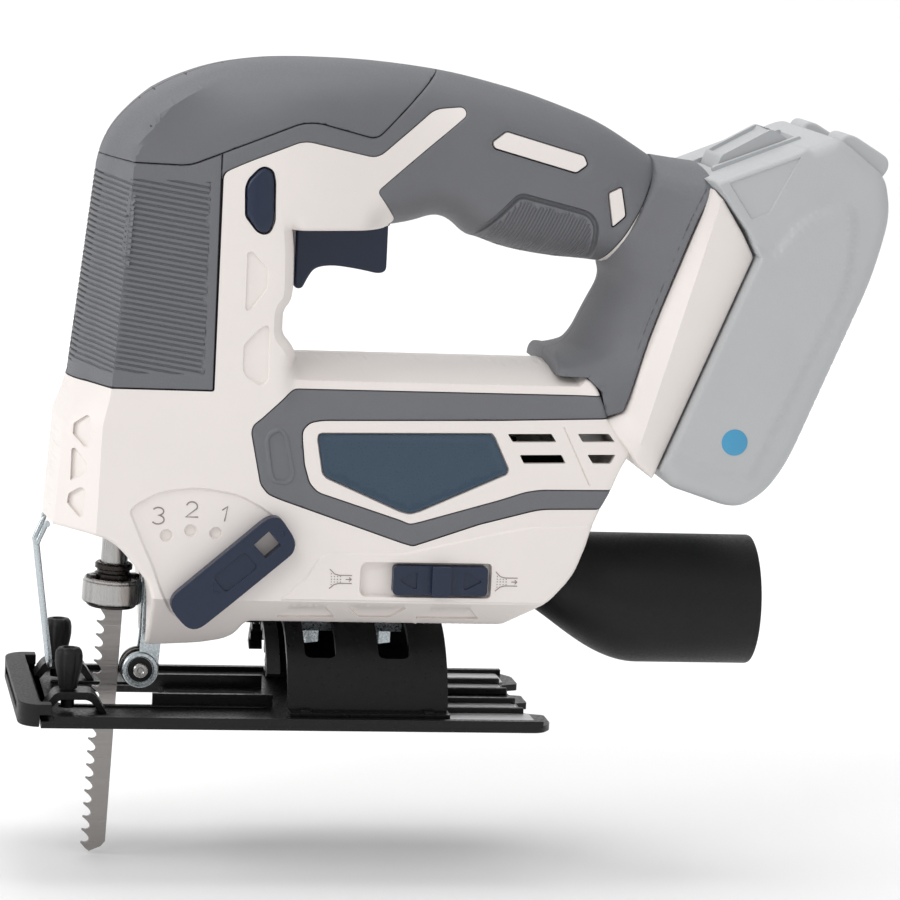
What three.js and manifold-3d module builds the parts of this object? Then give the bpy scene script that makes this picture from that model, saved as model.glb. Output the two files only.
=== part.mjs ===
// A cordless D-handle jigsaw as an assembly of separate parts.
// Millimetres, +Z up. The blade end points to -X, the battery end to +X, and the
// tool's left side to -Y. The origin is on the underside of the sole, mid width.
import * as THREE from "three";
import { mergeVertices } from "three/addons/utils/BufferGeometryUtils.js";
import Module from "manifold-3d";

const wasm = await Module();
wasm.setup();

// ---------------------------------------------------------------- dimensions
const GAP = 0.3; // clearance between touching parts
const WALL = 3.3; // clamshell wall
const SKIN = 3; // thickness of the grey covers

const BODY_HALF = 30.5; // half width of the clamshell at the waist
const HANDLE_HALF = 17; // half width of the handle
const NECK_HALF = 22; // half width of the neck under the collar grips
const TOP = 210; // above everything

const SOLE_LENGTH = 158;
const SOLE_HALF = 38; // half width of the sole
const SOLE_THICK = 2;
const RAIL_HIGH = 3.5; // height of the sole's side rails
const TILT_Z = 1; // height of the bevel axis above the sole's underside
const BRACKET_R = 28; // outer radius of the half-round bevel bracket
const BRACKET = [-1, 46.5]; // its X range
const SLOTS_X = [8.8, 30.7]; // X of the two bevel slots and clamp screws
const BEVEL_LIMIT = 45; // degrees each way

const RAKE = THREE.MathUtils.degToRad(2.2); // the plunger and blade lean forward at the bottom
const BLADE_X = -50; // plunger axis at BLADE_Z
const BLADE_Z = 30;
const ROD_R = 4;
const CRANK_R = 10; // half of the 20 mm stroke
const CRANK_END = -41.2; // the crank pin stops just behind the yoke

const GEAR_TEETH = 36;
const PINION_TEETH = 8;
const GEAR_MODULE = 1.25;
const MOTOR_Z = 69; // height of the motor shaft
const GEAR_Z = MOTOR_Z + (GEAR_MODULE * (GEAR_TEETH + PINION_TEETH)) / 2;
const GEAR_X = [-36, -30];

const ROLLER = [-41, 10.7]; // X and Z of the guide roller's axis
const ROLLER_R = 5.9;
const FORK_PIVOT = [-38, 50];
const BUSH_R = 7.1;
const LEVER = [-29.4, 35.8]; // X and Z of the pendulum lever's pivot
const LEVER_LENGTH = 31;
const LEVER_ANGLE = THREE.MathUtils.degToRad(49); // from up, towards +X

const PACK = [119.7, 109]; // X and Z of the battery interface's middle
const PACK_TURN = THREE.MathUtils.degToRad(21.9);
const CHANNEL = { deep: 13.6, wide: 21.4, neck: 17.9, lip: 6 };

const HOSE_R = 19.7; // dust nozzle, outside of the hose end
const HOSE_Z = 34.3;
const SPIGOT_R = 10.5;
const SPIGOT_Z = 43;

// ----------------------------------------------------------------- materials
const paint = (color, roughness, metalness = 0) =>
  new THREE.MeshStandardMaterial({ color, roughness, metalness });
const WHITE = paint(0xe4deda, 0.45);
const GREY = paint(0x6c6d71, 0.75);
const SLATE = paint(0x42586a, 0.35);
const NAVY = paint(0x1c3358, 0.4);
const BLACK = paint(0x1b1b1e, 0.5);
const PALE = paint(0xb2b4b6, 0.5);
const STEEL = paint(0x9a9a9c, 0.3, 1);
const ZINC = paint(0xb9bec0, 0.35, 1);
const BLACK_STEEL = paint(0x151517, 0.45, 0.6);
const BRONZE = paint(0x9c7b4a, 0.4, 1);
const COPPER = paint(0x8f4a2c, 0.45, 0.8);
const BOARD = paint(0x24583a, 0.6);
const CLEAR = paint(0xe8ecf0, 0.1);

// ------------------------------------------------------------------- helpers
// A closed geometry as a manifold-3d solid.
function solid(geometry) {
  geometry.deleteAttribute("normal");
  geometry.deleteAttribute("uv");
  const merged = mergeVertices(geometry, 1e-3);
  const mesh = { numProp: 3, vertProperties: merged.attributes.position.array };
  const triVerts = new Uint32Array(merged.index.array);
  const made = new wasm.Manifold(new wasm.Mesh({ ...mesh, triVerts }));
  if (made.volume() > 0) return made;
  return new wasm.Manifold(new wasm.Mesh({ ...mesh, triVerts: triVerts.reverse() }));
}

// A shape through [x, y] or [x, y, corner radius] points.
function shape(points) {
  const corner = points.map(([x, y]) => new THREE.Vector2(x, y));
  const outline = new THREE.Shape();
  points.forEach(([, , radius = 0], i) => {
    const here = corner[i];
    const before = corner[(i + corner.length - 1) % corner.length].clone().sub(here);
    const after = corner[(i + 1) % corner.length].clone().sub(here);
    const start = here.clone().add(before.setLength(radius));
    const end = here.clone().add(after.setLength(radius));
    if (i === 0) outline.moveTo(start.x, start.y);
    else outline.lineTo(start.x, start.y);
    if (radius > 0) outline.quadraticCurveTo(here.x, here.y, end.x, end.y);
  });
  return outline;
}

const extrude = (outline, depth, curveSegments = 3, bevel = 0) =>
  new THREE.ExtrudeGeometry(outline, {
    depth: depth - 2 * bevel,
    curveSegments,
    bevelEnabled: bevel > 0,
    bevelSize: bevel,
    bevelThickness: bevel,
    bevelOffset: -bevel,
    bevelSegments: 1,
  }).translate(0, 0, bevel);

// An outline in X and Z, between two values of Y; in X and Y, between two of Z;
// and in Y and Z, between two of X.
const sideways = (points, [low, high], bevel = 0) =>
  solid(extrude(shape(points), high - low, 3, bevel).rotateX(Math.PI / 2).translate(0, high, 0));
const upright = (points, [low, high], bevel = 0) =>
  solid(extrude(shape(points), high - low, 3, bevel).translate(0, 0, low));
const lengthways = (points, [low, high], bevel = 0) =>
  solid(
    extrude(shape(points), high - low, 3, bevel)
      .rotateX(Math.PI / 2)
      .rotateZ(Math.PI / 2)
      .translate(low, 0, 0),
  );

const box = ([x0, x1], [y0, y1], [z0, z1]) =>
  solid(
    new THREE.BoxGeometry(x1 - x0, y1 - y0, z1 - z0).translate(
      (x0 + x1) / 2,
      (y0 + y1) / 2,
      (z0 + z1) / 2,
    ),
  );

// A turned solid from [radius, height] points, with its axis along +Z.
const turned = (profile, sides = 16) => {
  const points = profile.map(([r, h]) => new THREE.Vector2(r, h));
  if (profile[0][0] > 0) points.push(points[0].clone());
  return solid(new THREE.LatheGeometry(points, sides).rotateX(Math.PI / 2));
};
const rod = (radius, [low, high], sides = 16) =>
  turned([[0, low], [radius, low], [radius, high], [0, high]], sides);
const tube = (inner, outer, [low, high], sides = 16) =>
  turned([[inner, low], [outer, low], [outer, high], [inner, high]], sides);

// Turns a solid made along Z to lie along X or Y.
const alongX = (made) => made.rotate([0, 90, 0]);
const alongY = (made) => made.rotate([-90, 0, 0]);
const mirrorY = (points) => [...points, ...points.map(([x, y, r]) => [x, -y, r]).reverse()];
const mirrorX = (points) => [...points, ...points.map(([x, y, r]) => [-x, y, r]).reverse()];
const union = (...parts) => parts.reduce((all, next) => all.add(next));

// Moves every side of an outline inwards (or outwards, if negative).
function inset(points, distance) {
  const turn = Math.sign(THREE.ShapeUtils.area(points.map(([x, y]) => ({ x, y }))));
  return points.map(([x, y], i) => {
    const [ax, ay] = points[(i + points.length - 1) % points.length];
    const [bx, by] = points[(i + 1) % points.length];
    const one = new THREE.Vector2(x - ax, y - ay).normalize();
    const two = new THREE.Vector2(bx - x, by - y).normalize();
    const normal = new THREE.Vector2(-one.y - two.y, one.x + two.x).normalize();
    const reach = (turn * distance) / Math.max(0.5, -one.y * normal.x + one.x * normal.y);
    return [x + normal.x * reach, y + normal.y * reach];
  });
}

const assembly = new THREE.Group();

// Adds a solid to the assembly as a named mesh, in a group or on its own.
function part(name, made, material, parent = assembly) {
  const data = made.getMesh();
  const geometry = new THREE.BufferGeometry();
  geometry.setAttribute("position", new THREE.BufferAttribute(data.vertProperties, 3));
  geometry.setIndex(new THREE.BufferAttribute(data.triVerts, 1));
  const mesh = new THREE.Mesh(geometry, material);
  mesh.name = name;
  parent.add(mesh);
}

// ------------------------------------------------------------------ outlines
// The upper body and the handle, seen from the side, down to the window.
const UPPER = [
  [-65.5, 99], [-58.5, 163], [-54.7, 173.5], [-47, 182], [-38, 187.3], [-25, 192.3],
  [0, 195.2], [18, 195], [47, 191.8], [67, 187], [91, 178.5], [103, 171], [108, 168.5],
  [94, 137.2], [75, 138.5], [55, 143], [46, 149], [28, 147.5], [-3, 146.3], [-3.5, 99],
];
// The lower body, from the nose to the sloping rear.
const LOWER = [
  [-70.5, 57], [-70, 86], [-66, 99.3], [-3.5, 99.3], [-3.5, 106], [82, 106], [88.3, 99],
  [90.2, 91.5], [95.6, 80.5], [91, 68], [84.5, 49], [78, 40], [65, 29.5], [-12, 29.5], [-15.5, 23.4],
  [-40.4, 20.2], [-40.3, 36], [-45, 45.5], [-51.3, 52.7], [-56.6, 55.6],
];
// The neck between the handle, the waist and the battery foot.
const NECK = [
  [79, 106.4], [85, 114.5], [90, 124.5], [94, 133], [94.4, 137], [108.4, 168.3],
  [116.5, 166.5], [118.6, 161.5], [91, 91], [88, 103],
];
// The ribbed nose cover and the top cap, as areas of the side view.
const COVER_AREA = [[-90, 99.5], [-25.2, 99.5], [-25.2, 164.2], [-90, 164.8]];
const CAP_AREA = [
  [-90, 165.2], [-34.5, 164.6], [-2.6, 177.4], [2.7, 177.6], [20.7, 173], [45, 197], [0, 215], [-90, 215],
];

// Half widths of the body seen from above: facets beside a crowned nose.
const plan = (front, faceX, faceHalf, sideX, tail) => [
  [front, 0],
  ...mirrorY([[front + 0.6, -7], [faceX, -faceHalf], [sideX, -BODY_HALF], ...tail]),
];
const LOWER_PLAN = plan(-71, -69.4, 20, -57.5, [[110, -BODY_HALF]]);
const UPPER_PLAN = plan(-65.5, -60.3, 17, -54.7, [[-6, -BODY_HALF], [42, -HANDLE_HALF], [130, -HANDLE_HALF]]);
// The lower body seen from the front, with bottom edges cut back for the tilting sole.
const LOWER_SECTION = mirrorX([[13, 19], [22, 29.4], [BODY_HALF, 36.5], [BODY_HALF, 102.5], [26, 106.5]]);
const CAP_SECTION = mirrorX([[BODY_HALF, 90], [BODY_HALF, 180], [26, 189], [17, 196]]);

// The nose leans back by this much per millimetre of height above LEAN_Z.
const LEAN = 0.108;
const LEAN_Z = 100;
const lean = new THREE.Matrix4().makeShear(0, 0, 0, 0, LEAN, 0).setPosition(-LEAN * LEAN_Z, 0, 0);

// The upper body, thinner all round except at its open bottom.
function upperBlank(thinner) {
  const wide = [-BODY_HALF + thinner, BODY_HALF - thinner];
  const outline = inset(UPPER, thinner).map(([x, z]) => [x, z < 115 ? z - 2 * thinner : z]);
  const seen = extrude(shape(inset(UPPER_PLAN, thinner)), TOP).applyMatrix4(lean);
  return sideways(outline, wide)
    .intersect(solid(seen))
    .intersect(lengthways(inset(CAP_SECTION, thinner), [-90, 130]));
}
function lowerBlank(thinner) {
  return sideways(inset(LOWER, thinner), [-BODY_HALF + thinner, BODY_HALF - thinner])
    .intersect(upright(inset(LOWER_PLAN, thinner), [0, TOP]))
    .intersect(lengthways(inset(LOWER_SECTION, thinner), [-90, 130]));
}

// ------------------------------------------------------------- plunger frame
// Everything that strokes is made with its axis on Z at the origin, then raked.
const raked = new THREE.Group();
raked.position.set(BLADE_X, 0, BLADE_Z);
raked.rotation.y = RAKE;
assembly.add(raked);
const rake = (made) => made.rotate([0, (RAKE * 180) / Math.PI, 0]).translate([BLADE_X, 0, BLADE_Z]);

// --------------------------------------------------------------- dust nozzle
// An offset reducer: a spigot in the body, and a hose end lower down.
function nozzleShape(wallIn, ends) {
  const cone = new THREE.CylinderGeometry(HOSE_R - wallIn, SPIGOT_R + 0.8 - wallIn, 34, 20)
    .rotateZ(-Math.PI / 2)
    .applyMatrix4(new THREE.Matrix4().makeShear(0, (HOSE_Z - SPIGOT_Z) / 34, 0, 0, 0, 0))
    .translate(93, 0, (HOSE_Z + SPIGOT_Z) / 2);
  return union(
    solid(cone),
    alongX(rod(SPIGOT_R - wallIn, [70 - ends, 77], 20)).translate([0, 0, SPIGOT_Z]),
    alongX(rod(HOSE_R - wallIn, [109.9, 145 + ends], 20)).translate([0, 0, HOSE_Z]),
  );
}
part("dust_nozzle", nozzleShape(0, 0).subtract(nozzleShape(2, 1)), BLACK);

// ------------------------------------------------------- housing and covers
const nozzleRoom = nozzleShape(-0.4, 0.5);
const upper = upperBlank(0);
const upperCore = upperBlank(SKIN);
const upperCoreRoom = upperBlank(SKIN + GAP);

function cover(name, area, material) {
  part(name, upper.subtract(upperCore).intersect(sideways(area, [-40, 40])), material);
}
cover("front_cover", COVER_AREA, GREY);
cover("top_cap", CAP_AREA, GREY);

function housing() {
  const areas = union(
    sideways(inset(COVER_AREA, -GAP), [-40, 40]),
    sideways(inset(CAP_AREA, -GAP), [-40, 40]),
  );
  const shell = union(
    upper.subtract(areas.subtract(upperCoreRoom)),
    lowerBlank(0),
    sideways(NECK, [-NECK_HALF, NECK_HALF], 3),
  );
  const hollow = union(
    box([-90, -7], [-40, 40], [62, TOP]),
    box([-8, 115], [-40, 40], [149.8, TOP]),
  ).intersect(upperBlank(SKIN + GAP + WALL));
  const low = lowerBlank(WALL);
  const nosePocket = box([-90, -16], [-40, 40], [62, 103]).intersect(low);
  const motorBay = box([-13, 120], [-40, 40], [30, 103]).intersect(low);
  const neckDuct = sideways(inset(NECK, WALL + 1), [-NECK_HALF + WALL, NECK_HALF - WALL]);
  const gearRoom = union(box([-54, -16], [-23.8, 23.8], [90, 116]), box([-30, -16], [-22, 22], [56, 70]));
  const bushRib = box([-90, -34], [-40, 40], [139, 149]).intersect(upperBlank(SKIN + GAP));
  return shell
    .subtract(union(hollow, nosePocket, motorBay, neckDuct, gearRoom))
    .add(bushRib)
    .subtract(box([84, 104], [-8, 8], [140, 162]))
    .subtract(nozzleRoom);
}

const LOCK_MIDDLE = [-13.6, 155];
const LOCK_OUTLINE = [
  [-17.2, 149], [-13, 145.8], [-10.2, 147.5], [-10.2, 160], [-12.2, 164], [-17.2, 162],
];
const grow = ([x, z], [cx, cz], by) => [x + Math.sign(x - cx) * by, z + Math.sign(z - cz) * by];

// Screws that close the clamshell from the right: X, Z, seat of the head, length to the left.
const HOUSING_SCREWS = {
  rear: [80, 95.5, 22, 29],
  handle: [70, 164, 8, 15],
};
const boss = ([x, z, , deep]) => alongY(rod(4.6, [-deep, deep], 12)).translate([x, 0, z]);
const bore = ([x, z, seat, deep]) =>
  union(
    alongY(rod(1.9, [4 - deep, 40], 12)).translate([x, 0, z]),
    alongY(rod(3.6, [seat, 40], 12)).translate([x, 0, z]),
  );

// Holes for what passes through the housing.
const housingHoles = () =>
  union(
    rake(rod(BUSH_R + GAP, [26.5, 130])),
    rake(rod(ROD_R + 0.6, [16, 40])),
    rake(rod(6.3, [5, 23.3])),
    rake(rod(9.5, [5, 18.8], 20)),
    alongY(rod(2.3, [-11.5, 11.5])).translate([FORK_PIVOT[0], 0, FORK_PIVOT[1]]),
    alongX(rod(4, [-17, -12])).translate([0, 0, MOTOR_Z]),
    box([-46, -30.5], [-6.5, 6.5], [10, 56]),
    ...SLOTS_X.map((x) => rod(2.9, [20, 45]).translate([x, 0, 0])),
    box([-0.4, 28.4], [-6.5, 6.5], [140, 157]),
    alongY(rod(4.4, [-40, -6])).translate([LEVER[0], 0, LEVER[1]]),
    sideways(LOCK_OUTLINE.map((p) => grow(p, LOCK_MIDDLE, 0.4)), [-40, -20]),
    box([22, 56], [-40, -20], [42, 46.5]),
    rod(2.9, [50, 70]).translate([-62, 0, 0]),
    box([-36, -22.8], [-10.6, -6], [29.4, 42.3]),
  );

const shells = housing()
  .add(union(...Object.values(HOUSING_SCREWS).map(boss)))
  .subtract(housingHoles())
  .subtract(union(...Object.values(HOUSING_SCREWS).map(bore)));
part("housing_left", shells.intersect(box([-90, 130], [-60, -GAP / 2], [0, TOP])), WHITE);
part("housing_right", shells.intersect(box([-90, 130], [GAP / 2, 60], [0, TOP])), WHITE);

const screw = ([, , seat, deep]) =>
  alongY(rod(1.6, [6 - deep, seat + 1], 10).add(rod(3.2, [seat + GAP, seat + 2.6], 12)));
for (const [where, place] of Object.entries(HOUSING_SCREWS))
  part(`housing_screw_${where}`, screw(place).translate([place[0], 0, place[1]]), STEEL);

// Skins on the outside of the clamshell, the same on both sides.
const BAND_OUTER = [
  [-12.4, 94.3], [-4, 104], [84, 104], [89.5, 98], [89, 68.5], [77, 68.3],
  [37, 55], [33, 54.6], [-11, 69],
];
const BAND_INNER = [
  [7, 94], [84, 96], [89.7, 92], [89.7, 74.5], [69.4, 73.8], [64.1, 71.9], [35, 62.5], [8.7, 74.4],
];
const BADGE = [[10.6, 90], [58.5, 90.7], [62.9, 80], [33.5, 65.8], [31.5, 65.8], [13.2, 75.2]];
const HANDLE_GRIP = [
  [44, 187], [67, 182.5], [89, 174.5], [103, 167], [91, 141.5], [76, 142], [57, 146.5],
  [48, 152.5], [34, 152.5], [26, 160],
];
const COLLAR_GRIP = [
  [81, 108.5], [86.6, 114.5], [91.5, 124.5], [95.4, 133], [96, 138], [109, 166], [117, 165],
  [117.4, 160], [92, 94], [89, 104],
];
const band = (y) => sideways(BAND_OUTER, y).subtract(sideways(BAND_INNER, [-60, 60]));
const skins = {
  waist_band: [band, BODY_HALF + GAP, BODY_HALF + 1.8, GREY],
  badge: [(y) => sideways(BADGE, y), BODY_HALF + GAP, BODY_HALF + 2.2, SLATE],
  handle_grip: [(y) => sideways(HANDLE_GRIP, y), HANDLE_HALF + GAP, HANDLE_HALF + 2, GREY],
  collar_grip: [(y) => sideways(COLLAR_GRIP, y), NECK_HALF + GAP, NECK_HALF + 4, GREY],
};
for (const [name, [make, inner, outer, material]] of Object.entries(skins)) {
  part(`${name}_left`, make([-outer, -inner]).subtract(upper), material);
  part(`${name}_right`, make([inner, outer]).subtract(upper), material);
}

// ---------------------------------------------------- battery foot and pack
// Made with X out of the interface plane and Z along the way the pack slides.
const packFrame = new THREE.Group();
packFrame.position.set(PACK[0], 0, PACK[1]);
packFrame.rotation.y = PACK_TURN;
assembly.add(packFrame);

const FOOT = [
  [-18.9, 49], [-6, 41.2], [0, 36], [0, -35.4], [-11.3, -34.5], [-18.9, -27.7],
];
const footChannel = (slack, low, high) =>
  union(
    box(
      [-CHANNEL.deep + slack, -CHANNEL.lip - slack],
      [slack - CHANNEL.wide, CHANNEL.wide - slack],
      [low, high],
    ),
    box([-CHANNEL.lip - slack - 0.1, 5], [slack - CHANNEL.neck, CHANNEL.neck - slack], [low, high]),
  );
part("battery_foot", sideways(FOOT, [-34, 34], 3).subtract(footChannel(0, -30.6, 60)), WHITE, packFrame);

const BLADES_Y = [-9, 0, 9];
const contacts = (half, top) =>
  union(...BLADES_Y.map((y) => box([-10, -5.5], [y - half, y + half], [-25, top])));
const terminalBody = box([-CHANNEL.deep + GAP, -4], [-15, 15], [-30.3, -24.8]);
part("terminal_block", terminalBody.add(contacts(0.4, -17)), BLACK, packFrame);

const PACK_CASE = [
  [0.6, -32.5], [5, -35], [28, -34], [35.4, -24], [35.2, 48], [31.8, 65], [25.4, 74.5], [8, 79],
  [-20.8, 51.4], [0.6, 41.5],
];
const packCavity = union(
  box([4, 32.5], [-33.5, 33.5], [-30, 56]),
  box([-1, 5], [-14, 14], [-24, 30]),
);
const railBlock = footChannel(0.4, -24, 34).intersect(box([-30, GAP], [-30, 30], [-60, 60]));
const latchRoom = sideways([[-16.6, 51.2], [2.4, 66.2], [2.4, 90], [-16.6, 90]], [-11, 11]);
const packBlank = sideways(PACK_CASE, [-37.5, 37.5], 4);
part("battery_case", packBlank.subtract(union(packCavity, latchRoom)), PALE, packFrame);
const railRoom = union(contacts(0.9, -16.4), box([-9, 5], [-13.5, 13.5], [-14, 29]));
part("battery_rail", railBlock.subtract(railRoom), BLACK, packFrame);
const LATCH = [[-16.3, 55.4], [2.1, 69.9], [2.1, 72.6], [-6, 73.2], [-16.3, 60.2]];
part("battery_latch_button", sideways(LATCH, [-10.7, 10.7]), PALE, packFrame);
// Five 18 mm cells under their holder, joined into one block.
const CELL_R = 9;
const cells = [-14, 5, 24, 43].map((u) =>
  alongY(rod(CELL_R, [-32.5, 32.5], 12)).translate([18, 0, u]),
);
const holder = box([9.6, 26.4], [-30, 30], [-23, 52]);
part("battery_cells", union(holder, ...cells), COPPER, packFrame);

// ------------------------------------------------------- trigger and switch
const TRIGGER = [
  [0.2, 126.8, 1], [3, 126.6, 1], [6, 132.9, 2], [11.8, 133.9], [26, 131.7, 1], [27.9, 134, 1],
  [27.9, 153], [0.2, 153],
];
part("trigger", sideways(TRIGGER, [-6, 6], 0.8), NAVY);
part("switch_module", box([4, 34], [-8, 8], [165, 181]), BLACK);

const SPRING = { x: 14, low: 153.3, high: 164.7, radius: 3.6, wire: 0.5, turns: 4 };
class Coil extends THREE.Curve {
  getPoint(t, target = new THREE.Vector3()) {
    const angle = 2 * Math.PI * SPRING.turns * t;
    const rise = SPRING.low + SPRING.wire + (SPRING.high - SPRING.low - 2 * SPRING.wire) * t;
    return target.set(SPRING.x + SPRING.radius * Math.cos(angle), SPRING.radius * Math.sin(angle), rise);
  }
}
function sweep(curve, radius, sides, steps) {
  const section = new THREE.Shape();
  for (let i = 0; i < sides; i++) {
    const angle = (2 * Math.PI * i) / sides;
    const [x, y] = [radius * Math.cos(angle), radius * Math.sin(angle)];
    if (i === 0) section.moveTo(x, y);
    else section.lineTo(x, y);
  }
  return solid(new THREE.ExtrudeGeometry(section, { extrudePath: curve, steps, bevelEnabled: false }));
}
part("trigger_spring", sweep(new Coil(), SPRING.wire, 4, 36), STEEL);

part("lock_off_button", sideways(LOCK_OUTLINE, [-32.3, -23], 0.6), NAVY);

// -------------------------------------------------- pendulum lever and blower
const LEVER_OUTLINE = [
  [-5.3, -5.3, 5], [5.3, -5.3, 5], [5.3, LEVER_LENGTH + 4, 3], [-3, LEVER_LENGTH + 5, 3],
  [-5.3, LEVER_LENGTH, 2],
];
const lever = union(
  upright(LEVER_OUTLINE, [0, 4.6], 0.6)
    .subtract(box([-2.6, 2.6], [LEVER_LENGTH - 7, LEVER_LENGTH - 1], [-1, 6])),
  rod(4, [-24.5, 0.5]),
);
const leverPlace = (made) =>
  made
    .rotate([90, 0, 0])
    .rotate([0, (LEVER_ANGLE * 180) / Math.PI, 0])
    .translate([LEVER[0], -BODY_HALF - 0.5, LEVER[1]]);
part("pendulum_lever", leverPlace(lever), NAVY);
const cam = tube(4 + GAP, 5.8, [20.8, 24.2]).subtract(box([5, 9], [-9, 9], [19, 26]));
part("pendulum_cam", leverPlace(cam.rotate([0, 180, 0])), STEEL);

const SLIDER = { x: [29.8, 58.2], z: [39.9, 48.8] };
const slider = box(SLIDER.x, [-33, -BODY_HALF - GAP], SLIDER.z)
  .add(box([38, 51], [-34.6, -BODY_HALF - GAP], [39.9, 48.8]))
  .add(box([38.5, 49.5], [-31, -25.6], [42.6, 45.9]));
part("blower_slider", slider, NAVY);
part("blower_gate", box([34, 54], [-25.3, -22.5], [38.5, 50]), BLACK);

// ----------------------------------------------------------- motor and gears
// A gear with straight-sided teeth, its axis along X, a gap or a tooth at the bottom.
function gear(teeth, hole, [low, high], toothDown) {
  const pitch = (GEAR_MODULE * teeth) / 2;
  const step = (2 * Math.PI) / teeth;
  const [tip, root] = [pitch + 0.8 * GEAR_MODULE, pitch - 1.1 * GEAR_MODULE];
  const turn = toothDown ? 0 : step / 2;
  const outline = new THREE.Shape();
  for (let i = 0; i < teeth; i++)
    for (const [radius, side] of [[root, -0.3], [tip, -0.12], [tip, 0.12], [root, 0.3]]) {
      const angle = (i + side) * step + turn;
      const [x, y] = [radius * Math.cos(angle), radius * Math.sin(angle)];
      if (i === 0 && side === -0.3) outline.moveTo(x, y);
      else outline.lineTo(x, y);
    }
  const made = alongX(solid(extrude(outline, high - low)).translate([0, 0, low]));
  return hole > 0 ? made.subtract(alongX(rod(hole, [low - 1, high + 1]))) : made;
}
const MOTOR_X = [4, 58];
const SHAFT_R = 2.5;
const canBore = SHAFT_R + 0.8;
const canProfile = [
  [canBore, MOTOR_X[0]], [18, MOTOR_X[0]], [18, MOTOR_X[1]], [canBore, MOTOR_X[1]],
  [canBore, MOTOR_X[1] - 3], [13, MOTOR_X[1] - 3], [13, MOTOR_X[0] + 3], [canBore, MOTOR_X[0] + 3],
];
part("motor_can", alongX(turned(canProfile, 24)).translate([0, 0, MOTOR_Z]), ZINC);
const core = [
  [0, -37], [SHAFT_R, -37], [SHAFT_R, 12], [11.6, 12], [11.6, 42], [7, 42], [7, 52], [SHAFT_R, 52],
  [SHAFT_R, 72], [0, 72],
];
const pinion = gear(PINION_TEETH, 0, [GEAR_X[0] - 0.5, GEAR_X[1] + 0.5], true);
part("motor_armature", alongX(turned(core, 18)).add(pinion).translate([0, 0, MOTOR_Z]), STEEL);

const FAN_X = [61, 69];
const fanBlades = Array.from({ length: 9 }, (_, i) =>
  box([FAN_X[0] + 1, FAN_X[1]], [4, 17], [-0.7, 0.7]).rotate([i * 40, 0, 0]),
);
const fanDisc = alongX(rod(17, [FAN_X[0], FAN_X[0] + 1.6], 24)).add(alongX(rod(5.5, FAN_X, 18)));
const fanBore = alongX(rod(SHAFT_R + GAP, [FAN_X[0] - 1, FAN_X[1] + 1]));
part("cooling_fan", union(fanDisc, ...fanBlades).subtract(fanBore).translate([0, 0, MOTOR_Z]), BLACK);

// The crank pin stands out of the gear's front face, level with the gear's centre.
const AXLE_R = 4;
const crankPin = alongX(rod(3, [CRANK_END, GEAR_X[0] + 0.5])).translate([0, CRANK_R, 0]);
const gearBody = gear(GEAR_TEETH, AXLE_R + GAP, GEAR_X, false);
part("drive_gear", gearBody.add(crankPin).translate([0, 0, GEAR_Z]), STEEL);
const axle = alongX(rod(AXLE_R, [GEAR_X[0] - 1.6, -16.6])).add(alongX(rod(6, [-29.6, -23.4], 16)));
part("gear_axle", axle.translate([0, 0, GEAR_Z]), STEEL);

const plateX = [-23, -16.4];
const plate = lengthways(mirrorX([[13, 57], [21.5, 68], [21.5, 98], [13, 108]]), plateX);
const plateHoles = union(
  alongX(rod(8.3, [plateX[0] - 1, plateX[1] + 1])).translate([0, 0, MOTOR_Z]),
  alongX(rod(AXLE_R + GAP, [plateX[0] - 1, plateX[1] + 1])).translate([0, 0, GEAR_Z]),
);
part("bearing_plate", plate.subtract(plateHoles), ZINC);
part("motor_bearing", alongX(tube(SHAFT_R + GAP, 8, plateX)).translate([0, 0, MOTOR_Z]), STEEL);

// ------------------------------------------------------------ stroking parts
part("plunger_rod", rod(ROD_R, [8.5, 122]), STEEL, raked);
const yokeZ = GEAR_Z - BLADE_Z;
const yoke = box([-5.5, 4.8], [-19, 19], [yokeZ - 8, yokeZ + 8])
  .subtract(box([4.5, 6], [-14.5, 14.5], [yokeZ - 3.6, yokeZ + 3.6]))
  .subtract(rod(ROD_R + GAP, [yokeZ - 9, yokeZ + 9]));
part("plunger_yoke", yoke, STEEL, raked);
part("lower_bush", tube(ROD_R + GAP, BUSH_R, [27, 36]), BRONZE, raked);
part("upper_bush", tube(ROD_R + GAP, BUSH_R, [110, 119]), BRONZE, raked);

const clampBody = turned([[0, -0.8], [7.4, -0.8], [7.4, 0.1], [5.6, 0.1], [5.6, 12.5], [0, 12.5]], 24)
  .subtract(box([-4.3, 4], [-0.95, 0.95], [-2, 7.6]))
  .subtract(rod(ROD_R + GAP, [8.2, 14]));
part("blade_clamp_body", clampBody, BLACK, raked);
part("clamp_ring", tube(5.9, 8.9, [0.5, 8], 20), STEEL, raked);

// The blade: teeth point up and forward, one every TOOTH_PITCH.
const TOOTH_PITCH = 4;
const TEETH = 18;
function blade() {
  const front = [];
  for (let i = 0; i < TEETH; i++) {
    const tip = -73.6 + i * TOOTH_PITCH;
    front.push([-3.9, tip], [-2, tip - 0.5], [-1.8, tip + 0.7]);
  }
  const outline = [[3.5, 7.3], [3.5, -73], [-1.7, -76.2], ...front, [-3.6, -0.9], [-3.6, 7.3]];
  return sideways(outline, [-0.6, 0.6]);
}
part("blade", blade(), STEEL, raked);

// ------------------------------------------------- wire guard and guide roller
// Half of a hairpin of wire, from the pivot stub down to the bottom bend.
const WIRE_R = 0.75;
const wireHalf = [
  [-70.3, 9, 55], [-70.3, 6.2, 55], [-70.6, 5.1, 54], [-72.9, 5, 48.5], [-70.6, 5, 31], [-68.3, 4.9, 14],
  [-67.9, 3.4, 11.6], [-67.9, 0, 11.2],
];
const wirePath = [...wireHalf, ...wireHalf.slice(0, -1).map(([x, y, z]) => [x, -y, z]).reverse()];
const wirePoints = wirePath.map((p) => new THREE.Vector3(...p));
const wireCurve = new THREE.CatmullRomCurve3(wirePoints, false, "centripetal");
part("wire_guard", sweep(wireCurve, WIRE_R, 5, 34), ZINC);

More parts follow.
